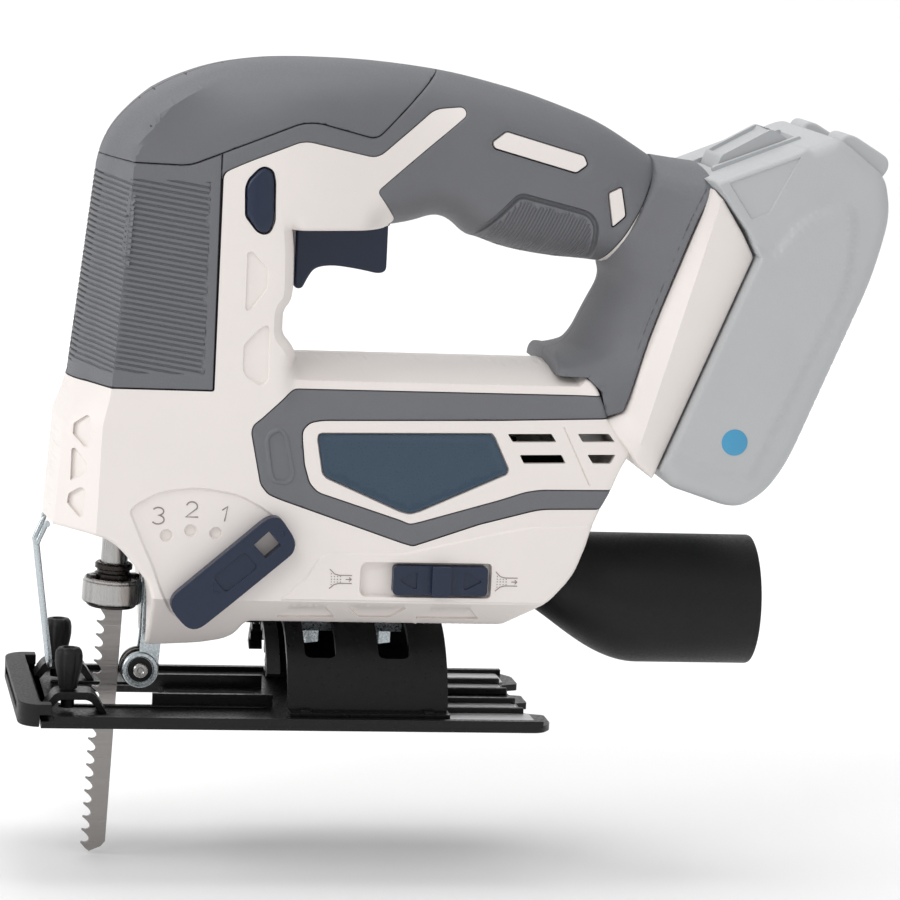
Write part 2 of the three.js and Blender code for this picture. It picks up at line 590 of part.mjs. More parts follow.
const ROLLER_HALF = 2.4;
const FORK_Y = [3, 4.5];
const forkArm = (side) => {
  const outline = [[-41.6, 12], [-40.6, 20], [-40.4, 52, 2], [-34.5, 52, 2], [-35.6, 12]];
  const [inner, outer] = FORK_Y;
  const y = side > 0 ? [inner, outer] : [-outer, -inner];
  const eye = alongY(rod(5.4, y, 16)).translate([ROLLER[0], 0, ROLLER[1]]);
  return sideways(outline, y).add(eye);
};
const forkPin = alongY(rod(2, [-11, 11])).translate([FORK_PIVOT[0], 0, FORK_PIVOT[1]]);
const pinHole = alongY(rod(2.3, [-9, 9])).translate([ROLLER[0], 0, ROLLER[1]]);
const forkBack = box([-36.6, -35], [-3.5, 3.5], [24, 46]);
part("roller_fork", union(forkArm(-1), forkArm(1), forkPin, forkBack).subtract(pinHole), ZINC);
const rollerPin = alongY(rod(2, [-5, 5]).add(rod(3.6, [-5.6, -4.8], 20)).add(rod(2.6, [4.8, 5.4])));
part("roller_pin", rollerPin.translate([ROLLER[0], 0, ROLLER[1]]), STEEL);
const rollerTube = alongY(tube(2.3, ROLLER_R, [-ROLLER_HALF, ROLLER_HALF], 20));
part("guide_roller", rollerTube.translate([ROLLER[0], 0, ROLLER[1]]), STEEL);

part("led_lens", rod(2.5, [55, 62]).translate([-62, 0, 0]), CLEAR);
part("circuit_board", box([8, 56], [-18, 18], [90, 91.6]), BOARD);

// ------------------------------------------------------------ sole and bevel
const half = SOLE_LENGTH / 2;
const soleFront = -half + 6.5;
function sole() {
  const outline = [
    [soleFront, -SOLE_HALF], [half - 3, -SOLE_HALF, 2], [half, -SOLE_HALF + 5], [half, -22], [half - 6, -20],
    [half - 6, -6], [half - 2, -5], [half - 2, 5], [half - 6, 6], [half - 6, 20], [half, 22],
    [half, SOLE_HALF - 5], [half - 3, SOLE_HALF, 2], [soleFront, SOLE_HALF],
  ];
  const bladeSlot = box([-66, -5], [-7, 7], [-1, 8]).add(box([-66, -32], [-13, 13], [-1, 8]));
  const bothSides = (x, [near, far], z) => box(x, [-far, -near], z).add(box(x, [near, far], z));
  return upright(outline, [0, SOLE_THICK])
    .add(bothSides([-69, half - 3], [SOLE_HALF - 2.2, SOLE_HALF], [0, RAIL_HIGH]))
    .add(bothSides([-31, -6], [13, 14.6], [0, 5.6]))
    .add(bothSides([48.5, half - 6.5], [6, 8], [0, 4]))
    .add(bothSides([48.5, half - 6.5], [20, 22], [0, 4]))
    .subtract(bladeSlot);
}
part("sole_plate", sole(), BLACK_STEEL);

const bumperOutline = [
  [-half, -34, 3], [-half + 4, -SOLE_HALF, 2], [-69.4, -SOLE_HALF], [-69.4, -SOLE_HALF + 4.5],
  [soleFront - GAP, -SOLE_HALF + 4.5], [soleFront - GAP, SOLE_HALF - 4.5], [-69.4, SOLE_HALF - 4.5],
  [-69.4, SOLE_HALF], [-half + 4, SOLE_HALF, 2], [-half, 34, 3],
];
const bumper = upright(bumperOutline, [0.3, 7], 0.8).subtract(
  box([soleFront - GAP, -60], [-SOLE_HALF - 1, SOLE_HALF + 1], [-1, RAIL_HIGH + GAP]),
);
part("front_bumper", bumper, BLACK);

const KNOB = { x: -63.8, y: 22 };
const bridgeOutline = [
  [-71.8, 2.3], [-69.6, 2.3], [-66.4, 6.2, 1], [-57.8, 6.2, 1], [-54.6, 2.3], [-52.4, 2.3],
  [-56.6, 8.2, 1], [-67.6, 8.2, 1],
];
for (const [side, sign] of [["left", -1], ["right", 1]]) {
  const y = KNOB.y * sign;
  const stemHole = rod(2.3, [0, 12]).translate([KNOB.x, y, 0]);
  const arch = sideways(bridgeOutline, [y - 4.5, y + 4.5]).subtract(stemHole);
  part(`guide_bridge_${side}`, arch, BLACK_STEEL);
  const grip = turned([[0, 8.6], [3.3, 8.6], [4.1, 9.4], [4.1, 20.2], [3.3, 21], [0, 21]])
    .add(rod(2, [3, 9]));
  part(`guide_knob_${side}`, grip.translate([KNOB.x, y, 0]), BLACK);
}

// An arc seen along X: a half ring or a sector of one, about the bevel axis.
function arc(inner, outer, degrees, x, steps) {
  const points = [];
  for (const [radius, way] of [[outer, 1], [inner, -1]])
    for (let i = 0; i <= steps; i++) {
      const angle = (way * degrees * (2 * i - steps) * Math.PI) / (180 * steps);
      points.push([radius * Math.sin(angle), TILT_Z + radius * Math.cos(angle)]);
    }
  return lengthways(points, x);
}
const flange = (side) => {
  const y = side > 0 ? [25.2, 33.5] : [-33.5, -25.2];
  return box(BRACKET, y, [SOLE_THICK + GAP, SOLE_THICK + GAP + 2]);
};
const bevelSlots = SLOTS_X.map((x) => arc(20, 32, BEVEL_LIMIT + 6.5, [x - 4.8, x + 4.8], 12));
const bracket = union(arc(BRACKET_R - 2, BRACKET_R, 84, BRACKET, 18), flange(-1), flange(1));
part("bevel_bracket", bracket.subtract(union(...bevelSlots)), BLACK_STEEL);

const SECTOR_X = [-5.4, BRACKET[0] - GAP];
const notches = Array.from({ length: 9 }, (_, i) =>
  lengthways([[-1.2, 23], [1.2, 23], [0.7, 26], [-0.7, 26]], [SECTOR_X[0] - 1, SECTOR_X[1] + 1])
    .rotate([(i - 4) * 11.25, 0, 0]),
);
const sector = arc(23.6, BRACKET_R, 62, SECTOR_X, 14).subtract(
  union(...notches).translate([0, 0, TILT_Z]),
);
part("bevel_sector", sector, BLACK_STEEL);

// The saddle inside the bracket, and the screws that clamp it to the housing.
const saddleX = [SLOTS_X[0] - 6.5, SLOTS_X[1] + 6.5];
const saddleHoles = SLOTS_X.map((x) => rod(2.9, [20, 32]).translate([x, 0, 0]));
part("clamp_plate", arc(23.5, BRACKET_R - 2 - GAP, 15, saddleX, 4).subtract(union(...saddleHoles)), ZINC);
SLOTS_X.forEach((x, i) => {
  const made = rod(2.5, [22.6, 42], 14).add(rod(4.4, [19.6, 23.9], 6));
  part(`sole_screw_${["front", "rear"][i]}`, made.translate([x, 0, 0]), ZINC);
});

export default assembly;
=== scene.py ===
"""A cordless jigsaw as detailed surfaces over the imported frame.

Sizes are in millimetres and are scaled when the meshes are made.
"""
import math

import bmesh
import bpy
import numpy as np
from mathutils import Matrix, Vector
from mathutils.geometry import delaunay_2d_cdt
from mathutils.kdtree import KDTree


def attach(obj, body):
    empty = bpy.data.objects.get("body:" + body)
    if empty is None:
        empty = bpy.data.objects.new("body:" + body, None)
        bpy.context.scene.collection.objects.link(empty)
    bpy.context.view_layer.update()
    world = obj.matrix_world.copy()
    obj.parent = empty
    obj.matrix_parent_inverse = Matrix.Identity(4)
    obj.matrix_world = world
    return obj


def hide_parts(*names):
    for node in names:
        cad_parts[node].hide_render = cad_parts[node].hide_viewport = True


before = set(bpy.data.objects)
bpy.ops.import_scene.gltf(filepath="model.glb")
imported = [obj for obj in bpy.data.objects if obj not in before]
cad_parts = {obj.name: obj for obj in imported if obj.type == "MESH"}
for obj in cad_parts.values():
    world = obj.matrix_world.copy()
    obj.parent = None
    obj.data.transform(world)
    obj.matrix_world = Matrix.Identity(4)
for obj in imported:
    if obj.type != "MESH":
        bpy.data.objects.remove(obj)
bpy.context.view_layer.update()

MM = 0.001
WELD_GAP = 0.004
ROUNDED_ANGLE, SHARP_ANGLE = 32, 34
LEFT, RIGHT = -1, 1
SIDE = {LEFT: "left", RIGHT: "right"}

# ------------------------------------------------------------------ materials


def linear(rgb):
    return [((c / 255 + 0.055) / 1.055) ** 2.4 if c > 10 else c / 255 / 12.92 for c in rgb]


def finish(name, rgb, rough, metal=0.0, grain=1400, bump=0.25, vary=0.05, stretch=(1, 1, 1), spread=0.08,
           coat=0.0, spec=0.5):
    """A moulded, painted or machined surface: fine grain in the relief, slow drift in colour and gloss."""
    made = bpy.data.materials.new(name)
    made.use_nodes = True
    tree = made.node_tree
    shader = tree.nodes["Principled BSDF"]
    place = tree.nodes.new("ShaderNodeTexCoord")
    scale = tree.nodes.new("ShaderNodeMapping")
    scale.inputs["Scale"].default_value = stretch
    tree.links.new(place.outputs["Object"], scale.inputs["Vector"])
    fine = tree.nodes.new("ShaderNodeTexNoise")
    fine.inputs["Scale"].default_value = grain
    fine.inputs["Detail"].default_value = 3
    broad = tree.nodes.new("ShaderNodeTexNoise")
    broad.inputs["Scale"].default_value = grain / 25
    broad.inputs["Detail"].default_value = 4
    for noise in (fine, broad):
        tree.links.new(scale.outputs["Vector"], noise.inputs["Vector"])
    mix = tree.nodes.new("ShaderNodeMix")
    mix.data_type = "RGBA"
    base = linear(rgb)
    mix.inputs["A"].default_value = (*[c * (1 - vary) for c in base], 1)
    mix.inputs["B"].default_value = (*[min(1, c * (1 + vary)) for c in base], 1)
    tree.links.new(broad.outputs["Fac"], mix.inputs["Factor"])
    tree.links.new(mix.outputs["Result"], shader.inputs["Base Color"])
    gloss = tree.nodes.new("ShaderNodeMapRange")
    gloss.inputs["From Min"].default_value = 0.3
    gloss.inputs["From Max"].default_value = 0.7
    gloss.inputs["To Min"].default_value = max(0.03, rough - spread)
    gloss.inputs["To Max"].default_value = min(1, rough + spread)
    tree.links.new(fine.outputs["Fac"], gloss.inputs["Value"])
    tree.links.new(gloss.outputs["Result"], shader.inputs["Roughness"])
    relief_node = tree.nodes.new("ShaderNodeBump")
    relief_node.inputs["Strength"].default_value = bump
    relief_node.inputs["Distance"].default_value = 0.0002
    tree.links.new(fine.outputs["Fac"], relief_node.inputs["Height"])
    tree.links.new(relief_node.outputs["Normal"], shader.inputs["Normal"])
    shader.inputs["Metallic"].default_value = metal
    shader.inputs["Coat Weight"].default_value = coat
    shader.inputs["Specular IOR Level"].default_value = spec
    return made


WHITE = finish("white_plastic", (232, 225, 221), 0.42, bump=0.12, vary=0.025)
GREY = finish("grey_rubber", (106, 107, 111), 0.58, bump=0.35, grain=2200, vary=0.05)
# painted shade: a dark grey for the housing faces under the grey covers, so the seams between parts read
# shaded
SEAM_SHADE = finish("painted_seam_shade", (60, 60, 63), 0.8, bump=0.2)
SLATE = finish("slate_badge", (46, 66, 84), 0.33, bump=0.1, grain=1800)
NAVY = finish("navy_plastic", (14, 30, 56), 0.38, bump=0.12, vary=0.08)
BLACK = finish("black_plastic", (13, 13, 15), 0.5, bump=0.2, vary=0.1, spec=0.3)
BATTERY = finish("battery_grey", (180, 182, 184), 0.5, bump=0.25, grain=1800, vary=0.03)
BLACK_STEEL = finish("black_steel", (10, 10, 12), 0.38, metal=0.15, bump=0.3, grain=1100, vary=0.15,
                     spread=0.12, spec=0.35)
# light grey strips on the top of the sole's rear end: a light grey, half-metallic finish
STRIP = finish("light_grey_sole_strip", (196, 197, 199), 0.38, metal=0.55, bump=0.15, stretch=(0.05, 1, 1), vary=0.04)
ZINC = finish("zinc_steel", (186, 194, 198), 0.3, metal=0.9, bump=0.2, vary=0.1, spread=0.12)
STEEL = finish("bright_steel", (172, 170, 168), 0.26, metal=0.95, bump=0.15, stretch=(1, 1, 0.06), vary=0.08)
BLADE = finish("blade_steel", (150, 146, 144), 0.34, metal=0.85, bump=0.25, stretch=(0.04, 1, 1), vary=0.08)
DARK = finish("blued_steel", (52, 48, 46), 0.3, metal=0.8, bump=0.2, vary=0.2)
BRONZE = finish("bronze", (160, 124, 74), 0.4, metal=0.9, bump=0.5, grain=2500, vary=0.12)
CELLS = finish("cell_pack", (70, 132, 116), 0.35, bump=0.1, vary=0.1)
BOARD = finish("board_green", (34, 92, 56), 0.45, bump=0.5, grain=500, vary=0.25)
LENS = finish("clear_lens", (236, 240, 244), 0.1, bump=0.05, coat=0.6)
MARK = finish("printed_mark", (140, 132, 130), 0.55, bump=0.1)
BLUE = finish("blue_mark", (70, 150, 190), 0.45, bump=0.15)

# ------------------------------------------------------------------- outlines


def dense(points, step=1.3, closed=True):
    points = np.asarray(points, float)
    ends = np.roll(points, -1, 0) if closed else points[1:]
    out = []
    for a, b in zip(points, ends):
        n = max(1, math.ceil(np.linalg.norm(b - a) / step))
        out += [a + (b - a) * i / n for i in range(n)]
    if not closed:
        out.append(points[-1])
    return np.array(out)


def rounded(points, step=1.3, closed=True, radius=0.0):
    """A dense outline through [x, z] or [x, z, corner length] points."""
    out, count = [], len(points)
    for i, (x, z, *r) in enumerate(points):
        here = np.array((x, z), float)
        r = r[0] if r else radius
        if r <= 0 or (not closed and i in (0, count - 1)):
            out.append(here)
            continue
        a = np.array(points[i - 1][:2], float) - here
        b = np.array(points[(i + 1) % count][:2], float) - here
        la, lb = np.linalg.norm(a), np.linalg.norm(b)
        s, e = here + a / la * min(r, 0.47 * la), here + b / lb * min(r, 0.47 * lb)
        n = max(4, math.ceil(r / step) + 2)
        for t in np.linspace(0, 1, n + 1):
            out.append((1 - t) ** 2 * s + 2 * t * (1 - t) * here + t * t * e)
    return dense(out, step, closed)


def circle(x, z, r, n=20):
    return np.array([(x + r * math.cos(a), z + r * math.sin(a))
                     for a in np.linspace(0, math.tau, n, endpoint=False)])


def distance(p, line, closed=False):
    a = np.asarray(line, float)
    b = np.roll(a, -1, 0) if closed else a[1:]
    a = a if closed else a[:-1]
    best = np.full(len(p), 1e9)
    for s, e in zip(a, b):
        d = e - s
        t = np.clip(((p - s) @ d) / max(d @ d, 1e-12), 0, 1)
        best = np.minimum(best, np.hypot(*(p - s - t[:, None] * d).T))
    return best


def inside(p, poly):
    poly = np.asarray(poly, float)
    hit = np.zeros(len(p), bool)
    x, z = p.T
    for (ax, az), (bx, bz) in zip(poly, np.roll(poly, -1, 0)):
        if az == bz:
            continue
        hit ^= ((az > z) != (bz > z)) & (x < (bx - ax) * (z - az) / (bz - az) + ax)
    return hit


def area(poly):
    x, z = np.asarray(poly).T
    return 0.5 * np.sum(x * np.roll(z, -1) - np.roll(x, -1) * z)


def offset(line, d, closed=True):
    """The line moved to its left by d, which is inwards for an anticlockwise outline."""
    line = np.asarray(line, float)
    before, after = np.roll(line, 1, 0), np.roll(line, -1, 0)
    if not closed:
        before[0], after[-1] = 2 * line[0] - line[1], 2 * line[-1] - line[-2]
    one, two = line - before, after - line
    one /= np.maximum(np.linalg.norm(one, axis=1, keepdims=True), 1e-9)
    two /= np.maximum(np.linalg.norm(two, axis=1, keepdims=True), 1e-9)
    normal = np.stack((-(one + two)[:, 1], (one + two)[:, 0]), 1)
    normal /= np.maximum(np.linalg.norm(normal, axis=1, keepdims=True), 1e-9)
    reach = np.maximum(0.5, -one[:, 1] * normal[:, 0] + one[:, 0] * normal[:, 1])
    return line + normal * (d / reach)[:, None]


def inset(poly, d):
    poly = np.asarray(poly, float)
    return offset(poly, d * np.sign(area(poly)))


def ramp(p, poly, slope):
    return np.where(inside(p, poly), np.clip(distance(p, poly, True) / slope, 0, 1), 0)


def ease(d, r):
    """How far a rounded edge of radius r has dropped at distance d from it."""
    return r - np.sqrt(np.maximum(0, r * r - (r - np.clip(d, 0, r)) ** 2))


def bulge(d, r):
    """A quarter ellipse from 0 at the silhouette to 1 at distance r."""
    return np.sqrt(np.maximum(0, 1 - (1 - np.clip(d / r, 0, 1)) ** 2))


def smooth(t):
    t = np.clip(t, 0, 1)
    return t * t * (3 - 2 * t)


# -------------------------------------------------------------------- objects


def add(name, verts, faces, mat, body, stands_for=(), sharp=SHARP_ANGLE, solid=0.0, bevel=0.0, segments=3):
    mesh = bpy.data.meshes.new(name)
    mesh.from_pydata([tuple(v) for v in np.asarray(verts, float) * MM], [],
                     [list(map(int, f)) for f in faces])
    mesh.update()
    mesh.materials.append(mat)
    mesh.polygons.foreach_set("use_smooth", [True] * len(mesh.polygons))
    mesh.set_sharp_from_angle(angle=math.radians(sharp))
    made = bpy.data.objects.new(name, mesh)
    bpy.context.scene.collection.objects.link(made)
    if solid:
        mod = made.modifiers.new("wall", "SOLIDIFY")
        mod.thickness, mod.offset = solid * MM, -1
    if bevel:
        round_edges(made, bevel, segments)
    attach(made, body)
    if stands_for:
        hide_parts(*stands_for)
    return made


def round_edges(made, width, segments=3):
    mod = made.modifiers.new("edges", "BEVEL")
    mod.width, mod.segments = width * MM, segments
    mod.limit_method, mod.angle_limit = "ANGLE", math.radians(ROUNDED_ANGLE)
    mod.harden_normals = True


def triangulate(points, edges):
    verts, _, faces, *_ = delaunay_2d_cdt([Vector(p) for p in points], edges, [], 0, 0.006, False)
    return np.array([v[:] for v in verts]), np.array([f for f in faces if len(f) == 3])


IDENTITY = lambda x, y, z: np.stack((x, y, z), 1)


def relief(name, region, height, mat, body, limits=None, holes=(), recesses=(), lines=(), rows=(), edge=0.7,
           grid=2.2, inner=0.15, solid=1.4, sides=(LEFT, RIGHT), joined=False, stands_for=None,
           place=IDENTITY, sharp=SHARP_ANGLE, press=None, hidden=()):
    """A side surface over an area of the side view, mirrored for the other side.

    height gives the distance from the middle plane. Walls run from the limits to inner, which may be a
    function. recesses are (outline, depth, slope, raised islands). joined closes both sides into one solid.
    press gives a depth to sink along the surface normal, and hidden lists (outline, islands) that lie under
    a grey skin; their faces get a dark grey, painted shade for the seams where they show.
    """
    region = np.asarray(region, float)
    loops = [region, *holes] + ([limits] if limits is not None else [])
    for outline, _, slope, islands in recesses:
        for poly in (outline, *islands):
            loops += [poly, inset(poly, slope)]
    fixed, edges = [], []
    for line, closed in [(l, True) for l in loops] + [(l, False) for l in lines]:
        start, n = len(fixed), len(line)
        fixed += [tuple(p) for p in line]
        edges += [(start + i, start + (i + 1) % n) for i in range(n if closed else n - 1)]
    tree = KDTree(len(fixed))
    for i, (x, z) in enumerate(fixed):
        tree.insert((x, z, 0), i)
    tree.balance()
    low, high = region.min(0), region.max(0)
    if limits is not None:
        low, high = np.maximum(low, limits.min(0)), np.minimum(high, limits.max(0))
    free = [(x + (k % 2) * grid / 2, z) for k, z in enumerate(np.arange(low[1], high[1], grid * 0.87))
            for x in np.arange(low[0], high[0], grid)]
    for d in (0.12, 0.35, 0.7):
        if edge:
            free += [tuple(p) for p in inset(region, d * edge / 0.7)]
    for line, distances in rows:
        for d in distances:
            free += [tuple(p) for p in offset(line, d, False)] + [tuple(p) for p in offset(line, -d, False)]
    free = np.array(free)
    keep = inside(free, region)
    if limits is not None:
        keep &= inside(free, limits)
    free = free[keep]
    near = np.array([tree.find((x, z, 0))[2] for x, z in free])
    free = free[near > 0.1]
    points, faces = triangulate(fixed + [tuple(p) for p in free], edges)
    middle = points[faces].mean(1)
    keep = inside(middle, region)
    if limits is not None:
        keep &= inside(middle, limits)
    for hole in holes:
        keep &= ~inside(middle, hole)
    a, b, c = points[faces[:, 0]], points[faces[:, 1]], points[faces[:, 2]]
    size = (b - a)[:, 0] * (c - a)[:, 1] - (b - a)[:, 1] * (c - a)[:, 0]
    keep &= np.abs(size) > 1e-5
    faces, size = faces[keep], size[keep]
    faces[size < 0] = faces[size < 0][:, ::-1]
    used, faces = np.unique(faces, return_inverse=True)
    faces, points = faces.reshape(-1, 3), points[used]
    h = height(points)
    for outline, depth, slope, islands in recesses:
        drop = depth * ramp(points, outline, slope)
        for island in islands:
            drop *= 1 - ramp(points, island, slope)
        h = h - drop
    if edge:
        h = h - ease(distance(points, region, True), edge)
    floor = inner(points) if callable(inner) else np.full(len(points), inner)
    h = np.maximum(h, floor)
    counts = {}
    for f in faces:
        for i in range(3):
            counts[(f[i], f[(i + 1) % 3])] = True
    rim = [(i, j) for i, j in counts if (j, i) not in counts]
    walls = []
    if limits is not None or joined:
        line = limits if limits is not None else region
        ends = sorted({i for pair in rim for i in pair})
        on = dict(zip(ends, distance(points[ends], line, True) < 0.03))
        stands = h - floor > 0.05
        walls = [(i, j) for i, j in rim if on[i] and on[j] and (joined or stands[i] or stands[j])]
    if press is not None:
        depth, e = press(points), 0.04
        gx, gz = (np.clip((height(points + d) - height(points - d)) / (2 * e), -12, 12)
                  for d in (np.array((e, 0)), np.array((0, e))))
        reach = depth / np.sqrt(1 + gx * gx + gz * gz)
        h = np.maximum(h - reach, floor)
        points = points + np.stack((gx, gz), 1) * reach[:, None]
    extra = {}
    for pair in walls:
        for i in pair:
            extra.setdefault(i, len(points) + len(extra))
    order = list(extra)
    x = np.concatenate((points[:, 0], points[order, 0]))
    z = np.concatenate((points[:, 1], points[order, 1]))
    y = np.concatenate((h, floor[order]))
    quads = [(j, i, extra[i], extra[j]) for i, j in walls]
    made = []
    shells = {}
    for side in sides:
        turned = [tuple(f) for f in faces] + quads
        shells[side] = (place(x, side * y, z), turned if side == LEFT else [f[::-1] for f in turned])
    if joined:
        (va, fa), (vb, fb) = shells[LEFT], shells[RIGHT]
        verts = np.concatenate((va, vb))
        one = add(name, verts, fa + [tuple(i + len(va) for i in f) for f in fb], mat, body, sharp=sharp)
        weld(one)
        one.data.set_sharp_from_angle(angle=math.radians(sharp))
        if solid:
            mod = one.modifiers.new("wall", "SOLIDIFY")
            mod.thickness, mod.offset = solid * MM, -1
        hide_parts(stands_for)
        return one
    for side, (verts, turned) in shells.items():
        which = SIDE[side]
        node = stands_for or f"{name}_{which}"
        one = add(f"{name}_{which}", verts, turned, mat, body, sharp=sharp, solid=solid)
        weld(one)
        one.data.set_sharp_from_angle(angle=math.radians(sharp))
        crisp_border(one)
        # painted shade: faces under the grey covers get the dark seam grey
        paint_seam_shade(one, hidden)
        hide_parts(node)
        made.append(one)
    return made


def crisp_border(made):
    """Marks every open edge sharp, so the wall given to it later keeps its own shading."""
    work = bmesh.new()
    work.from_mesh(made.data)
    for edge in work.edges:
        if edge.is_boundary:
            edge.smooth = False
    work.to_mesh(made.data)
    work.free()


def paint_seam_shade(made, hidden):
    """Paints the faces that lie under a grey skin dark grey: painted shade, so the seams where they show read
    shaded.
    """
    if not hidden:
        return
    made.data.materials.append(SEAM_SHADE)
    centre = np.zeros(3 * len(made.data.polygons))
    made.data.polygons.foreach_get("center", centre)
    seen = centre.reshape(-1, 3)[:, (0, 2)] / MM
    under = np.zeros(len(seen), bool)
    for outline, islands in hidden:
        under |= inside(seen, outline) & ~np.any([np.zeros(len(seen), bool),
                                                  *(inside(seen, q) for q in islands)], 0)
    made.data.polygons.foreach_set("material_index", under.astype(int))



def weld(made):
    work = bmesh.new()
    work.from_mesh(made.data)
    bmesh.ops.remove_doubles(work, verts=work.verts, dist=WELD_GAP * MM)
    work.to_mesh(made.data)
    work.free()


def along(axis):
    """(u, v, w) to the row frame, for a thing drawn in u and v and extruded along w."""
    return {"Y": lambda u, v, w: (u, w, v), "Z": lambda u, v, w: (u, v, w), "X": lambda u, v,
            w: (w, u, v)}[axis]


def solid_mesh(outline, low, high, turn):
    work = bmesh.new()
    lower = [work.verts.new(turn(u, v, low)) for u, v in outline]
    upper = [work.verts.new(turn(u, v, high)) for u, v in outline]
    work.faces.new(lower)
    work.faces.new(upper)
    for i in range(len(outline)):
        j = (i + 1) % len(outline)
        work.faces.new((lower[i], lower[j], upper[j], upper[i]))
    bmesh.ops.recalc_face_normals(work, faces=work.faces)
    verts = [tuple(v.co) for v in work.verts]
    index = {v: i for i, v in enumerate(work.verts)}
    faces = [[index[v] for v in f.verts] for f in work.faces]
    work.free()
    return verts, faces


def prism(name, outline, low, high, mat, body, axis="Y", cuts=(), bevel=0.5, segments=3, stands_for=(),
          place=None, radius=0.0, step=1.3, extra=()):
    """An extruded outline with other extruded outlines cut from it or added, then rounded edges."""
    turn = along(axis)
    verts, faces = solid_mesh(rounded(outline, step, radius=radius), low, high, turn)
    made = plain(name, verts, faces)
    for how, shapes in (("DIFFERENCE", cuts), ("UNION", extra)):
        for i, shape in enumerate(shapes):
            if isinstance(shape, tuple):
                shape = plain(f"{name}_cut{i}",
                              *solid_mesh(rounded(shape[0], step, radius=radius), shape[1], shape[2], turn))
            combine(made, shape, how)
    verts = np.array([v.co for v in made.data.vertices])
    faces = [list(f.vertices) for f in made.data.polygons]
    bpy.data.objects.remove(made)
    if place is not None:
        verts = place(*verts.T)
    return add(name, verts, faces, mat, body, stands_for, bevel=bevel, segments=segments)


def plain(name, verts, faces):
    mesh = bpy.data.meshes.new(name)
    mesh.from_pydata([tuple(v) for v in verts], [], faces)
    made = bpy.data.objects.new(name, mesh)
    bpy.context.scene.collection.objects.link(made)
    return made


def combine(made, other, how):
    mod = made.modifiers.new("b", "BOOLEAN")
    mod.operation, mod.solver, mod.object = how, "EXACT", other
    bpy.context.view_layer.update()
    mesh = bpy.data.meshes.new_from_object(made.evaluated_get(bpy.context.evaluated_depsgraph_get()))
    made.modifiers.clear()
    made.data = mesh
    bpy.data.objects.remove(other)


def lathe(name, profile, mat, body, spin, stands_for=(), steps=56):
    """A profile of (radius, height) turned about Z, then moved by spin."""
    profile = [tuple(p) for p in profile]
    ring = np.linspace(0, math.tau, steps, endpoint=False)
    verts = [spin @ Vector((r * math.cos(a), r * math.sin(a), h)) for r, h in profile for a in ring]
    count, faces = len(profile), []
    closed = profile[0][0] > 0.01
    for k in range(count if closed else count - 1):
        m = (k + 1) % count
        for i in range(steps):
            j = (i + 1) % steps
            faces.append((k * steps + i, k * steps + j, m * steps + j, m * steps + i))
    made = add(name, verts, faces, mat, body, stands_for)
    weld(made)
    work = bmesh.new()
    work.from_mesh(made.data)
    bmesh.ops.dissolve_degenerate(work, edges=work.edges, dist=1e-7)
    bmesh.ops.recalc_face_normals(work, faces=work.faces)
    work.to_mesh(made.data)
    work.free()
    made.data.polygons.foreach_set("use_smooth", [True] * len(made.data.polygons))
    made.data.set_sharp_from_angle(angle=math.radians(SHARP_ANGLE))
    return made


def catmull(points, per=8):
    points = [Vector(p) for p in points]
    padded = [2 * points[0] - points[1], *points, 2 * points[-1] - points[-2]]
    out = []
    for a, b, c, d in zip(padded, padded[1:], padded[2:], padded[3:]):
        for i in range(per):
            t = i / per
            out.append(0.5 * (2 * b + (c - a) * t + (2 * a - 5 * b + 4 * c - d) * t * t
                              + (3 * b - a - 3 * c + d) * t**3))
    return out + [points[-1]]


def wire(name, lines, radius, mat, body, stands_for=(), sides=6):
    curve = bpy.data.curves.new(name, "CURVE")
    curve.dimensions, curve.use_fill_caps = "3D", True
    curve.bevel_depth, curve.bevel_resolution = radius * MM, sides
    for line in lines:
        spline = curve.splines.new("POLY")
        spline.points.add(len(line) - 1)
        for point, co in zip(spline.points, line):
            point.co = (*(Vector(co) * MM), 1)
    curve.materials.append(mat)
    source = bpy.data.objects.new(name, curve)
    bpy.context.scene.collection.objects.link(source)
    bpy.context.view_layer.update()
    mesh = bpy.data.meshes.new_from_object(source.evaluated_get(bpy.context.evaluated_depsgraph_get()))
    bpy.data.objects.remove(source)
    mesh.name = name
    made = bpy.data.objects.new(name, mesh)
    bpy.context.scene.collection.objects.link(made)
    mesh.polygons.foreach_set("use_smooth", [True] * len(mesh.polygons))
    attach(made, body)
    if stands_for:
        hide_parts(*stands_for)
    return made


# ----------------------------------------------------- the body's side surface
TOP = rounded([[-62, 133], [-58.6, 165, 6], [-54.7, 173.7, 6], [-46.7, 181.9, 6], [-38.1, 187.2, 6],
               [-25, 192.4, 7], [-12, 194.6, 7], [0, 195.2, 8], [18, 195, 8], [33, 193.8, 8], [46.7, 192, 8],
               [66.5, 187.4, 8], [80, 183, 8], [91.3, 178.7, 8], [104, 171, 6], [109, 167.8]], 1.3,
              closed=False)
HANDLE_END = rounded([[109, 167.8], [105.4, 161, 5], [101.2, 153, 8], [94.4, 137]], closed=False)
UNDERSIDE = rounded([[94.4, 137], [88, 137.7, 5], [75.1, 138.5, 6], [62.8, 140.6, 6], [55.1, 143.4, 3],
                     [51.4, 144.1, 3], [46.3, 148.8, 4], [41.1, 149.8, 4], [35, 147.6, 4], [28, 146.3]],
                    closed=False)
ROOF = dense([[28, 146.3], [-3.5, 146.3]], closed=False)
COLUMN = rounded([[-3.5, 146.3], [-2.8, 140, 2], [-2.6, 129, 1], [-3.1, 125.5, 2], [-5.3, 122.8, 1.6],
                  [-5.3, 116, 1.6], [-2.2, 112.6, 2], [-0.8, 109.2, 2], [2, 107]], 0.9, closed=False)
SILL = dense([[2, 107], [82, 107]], closed=False)
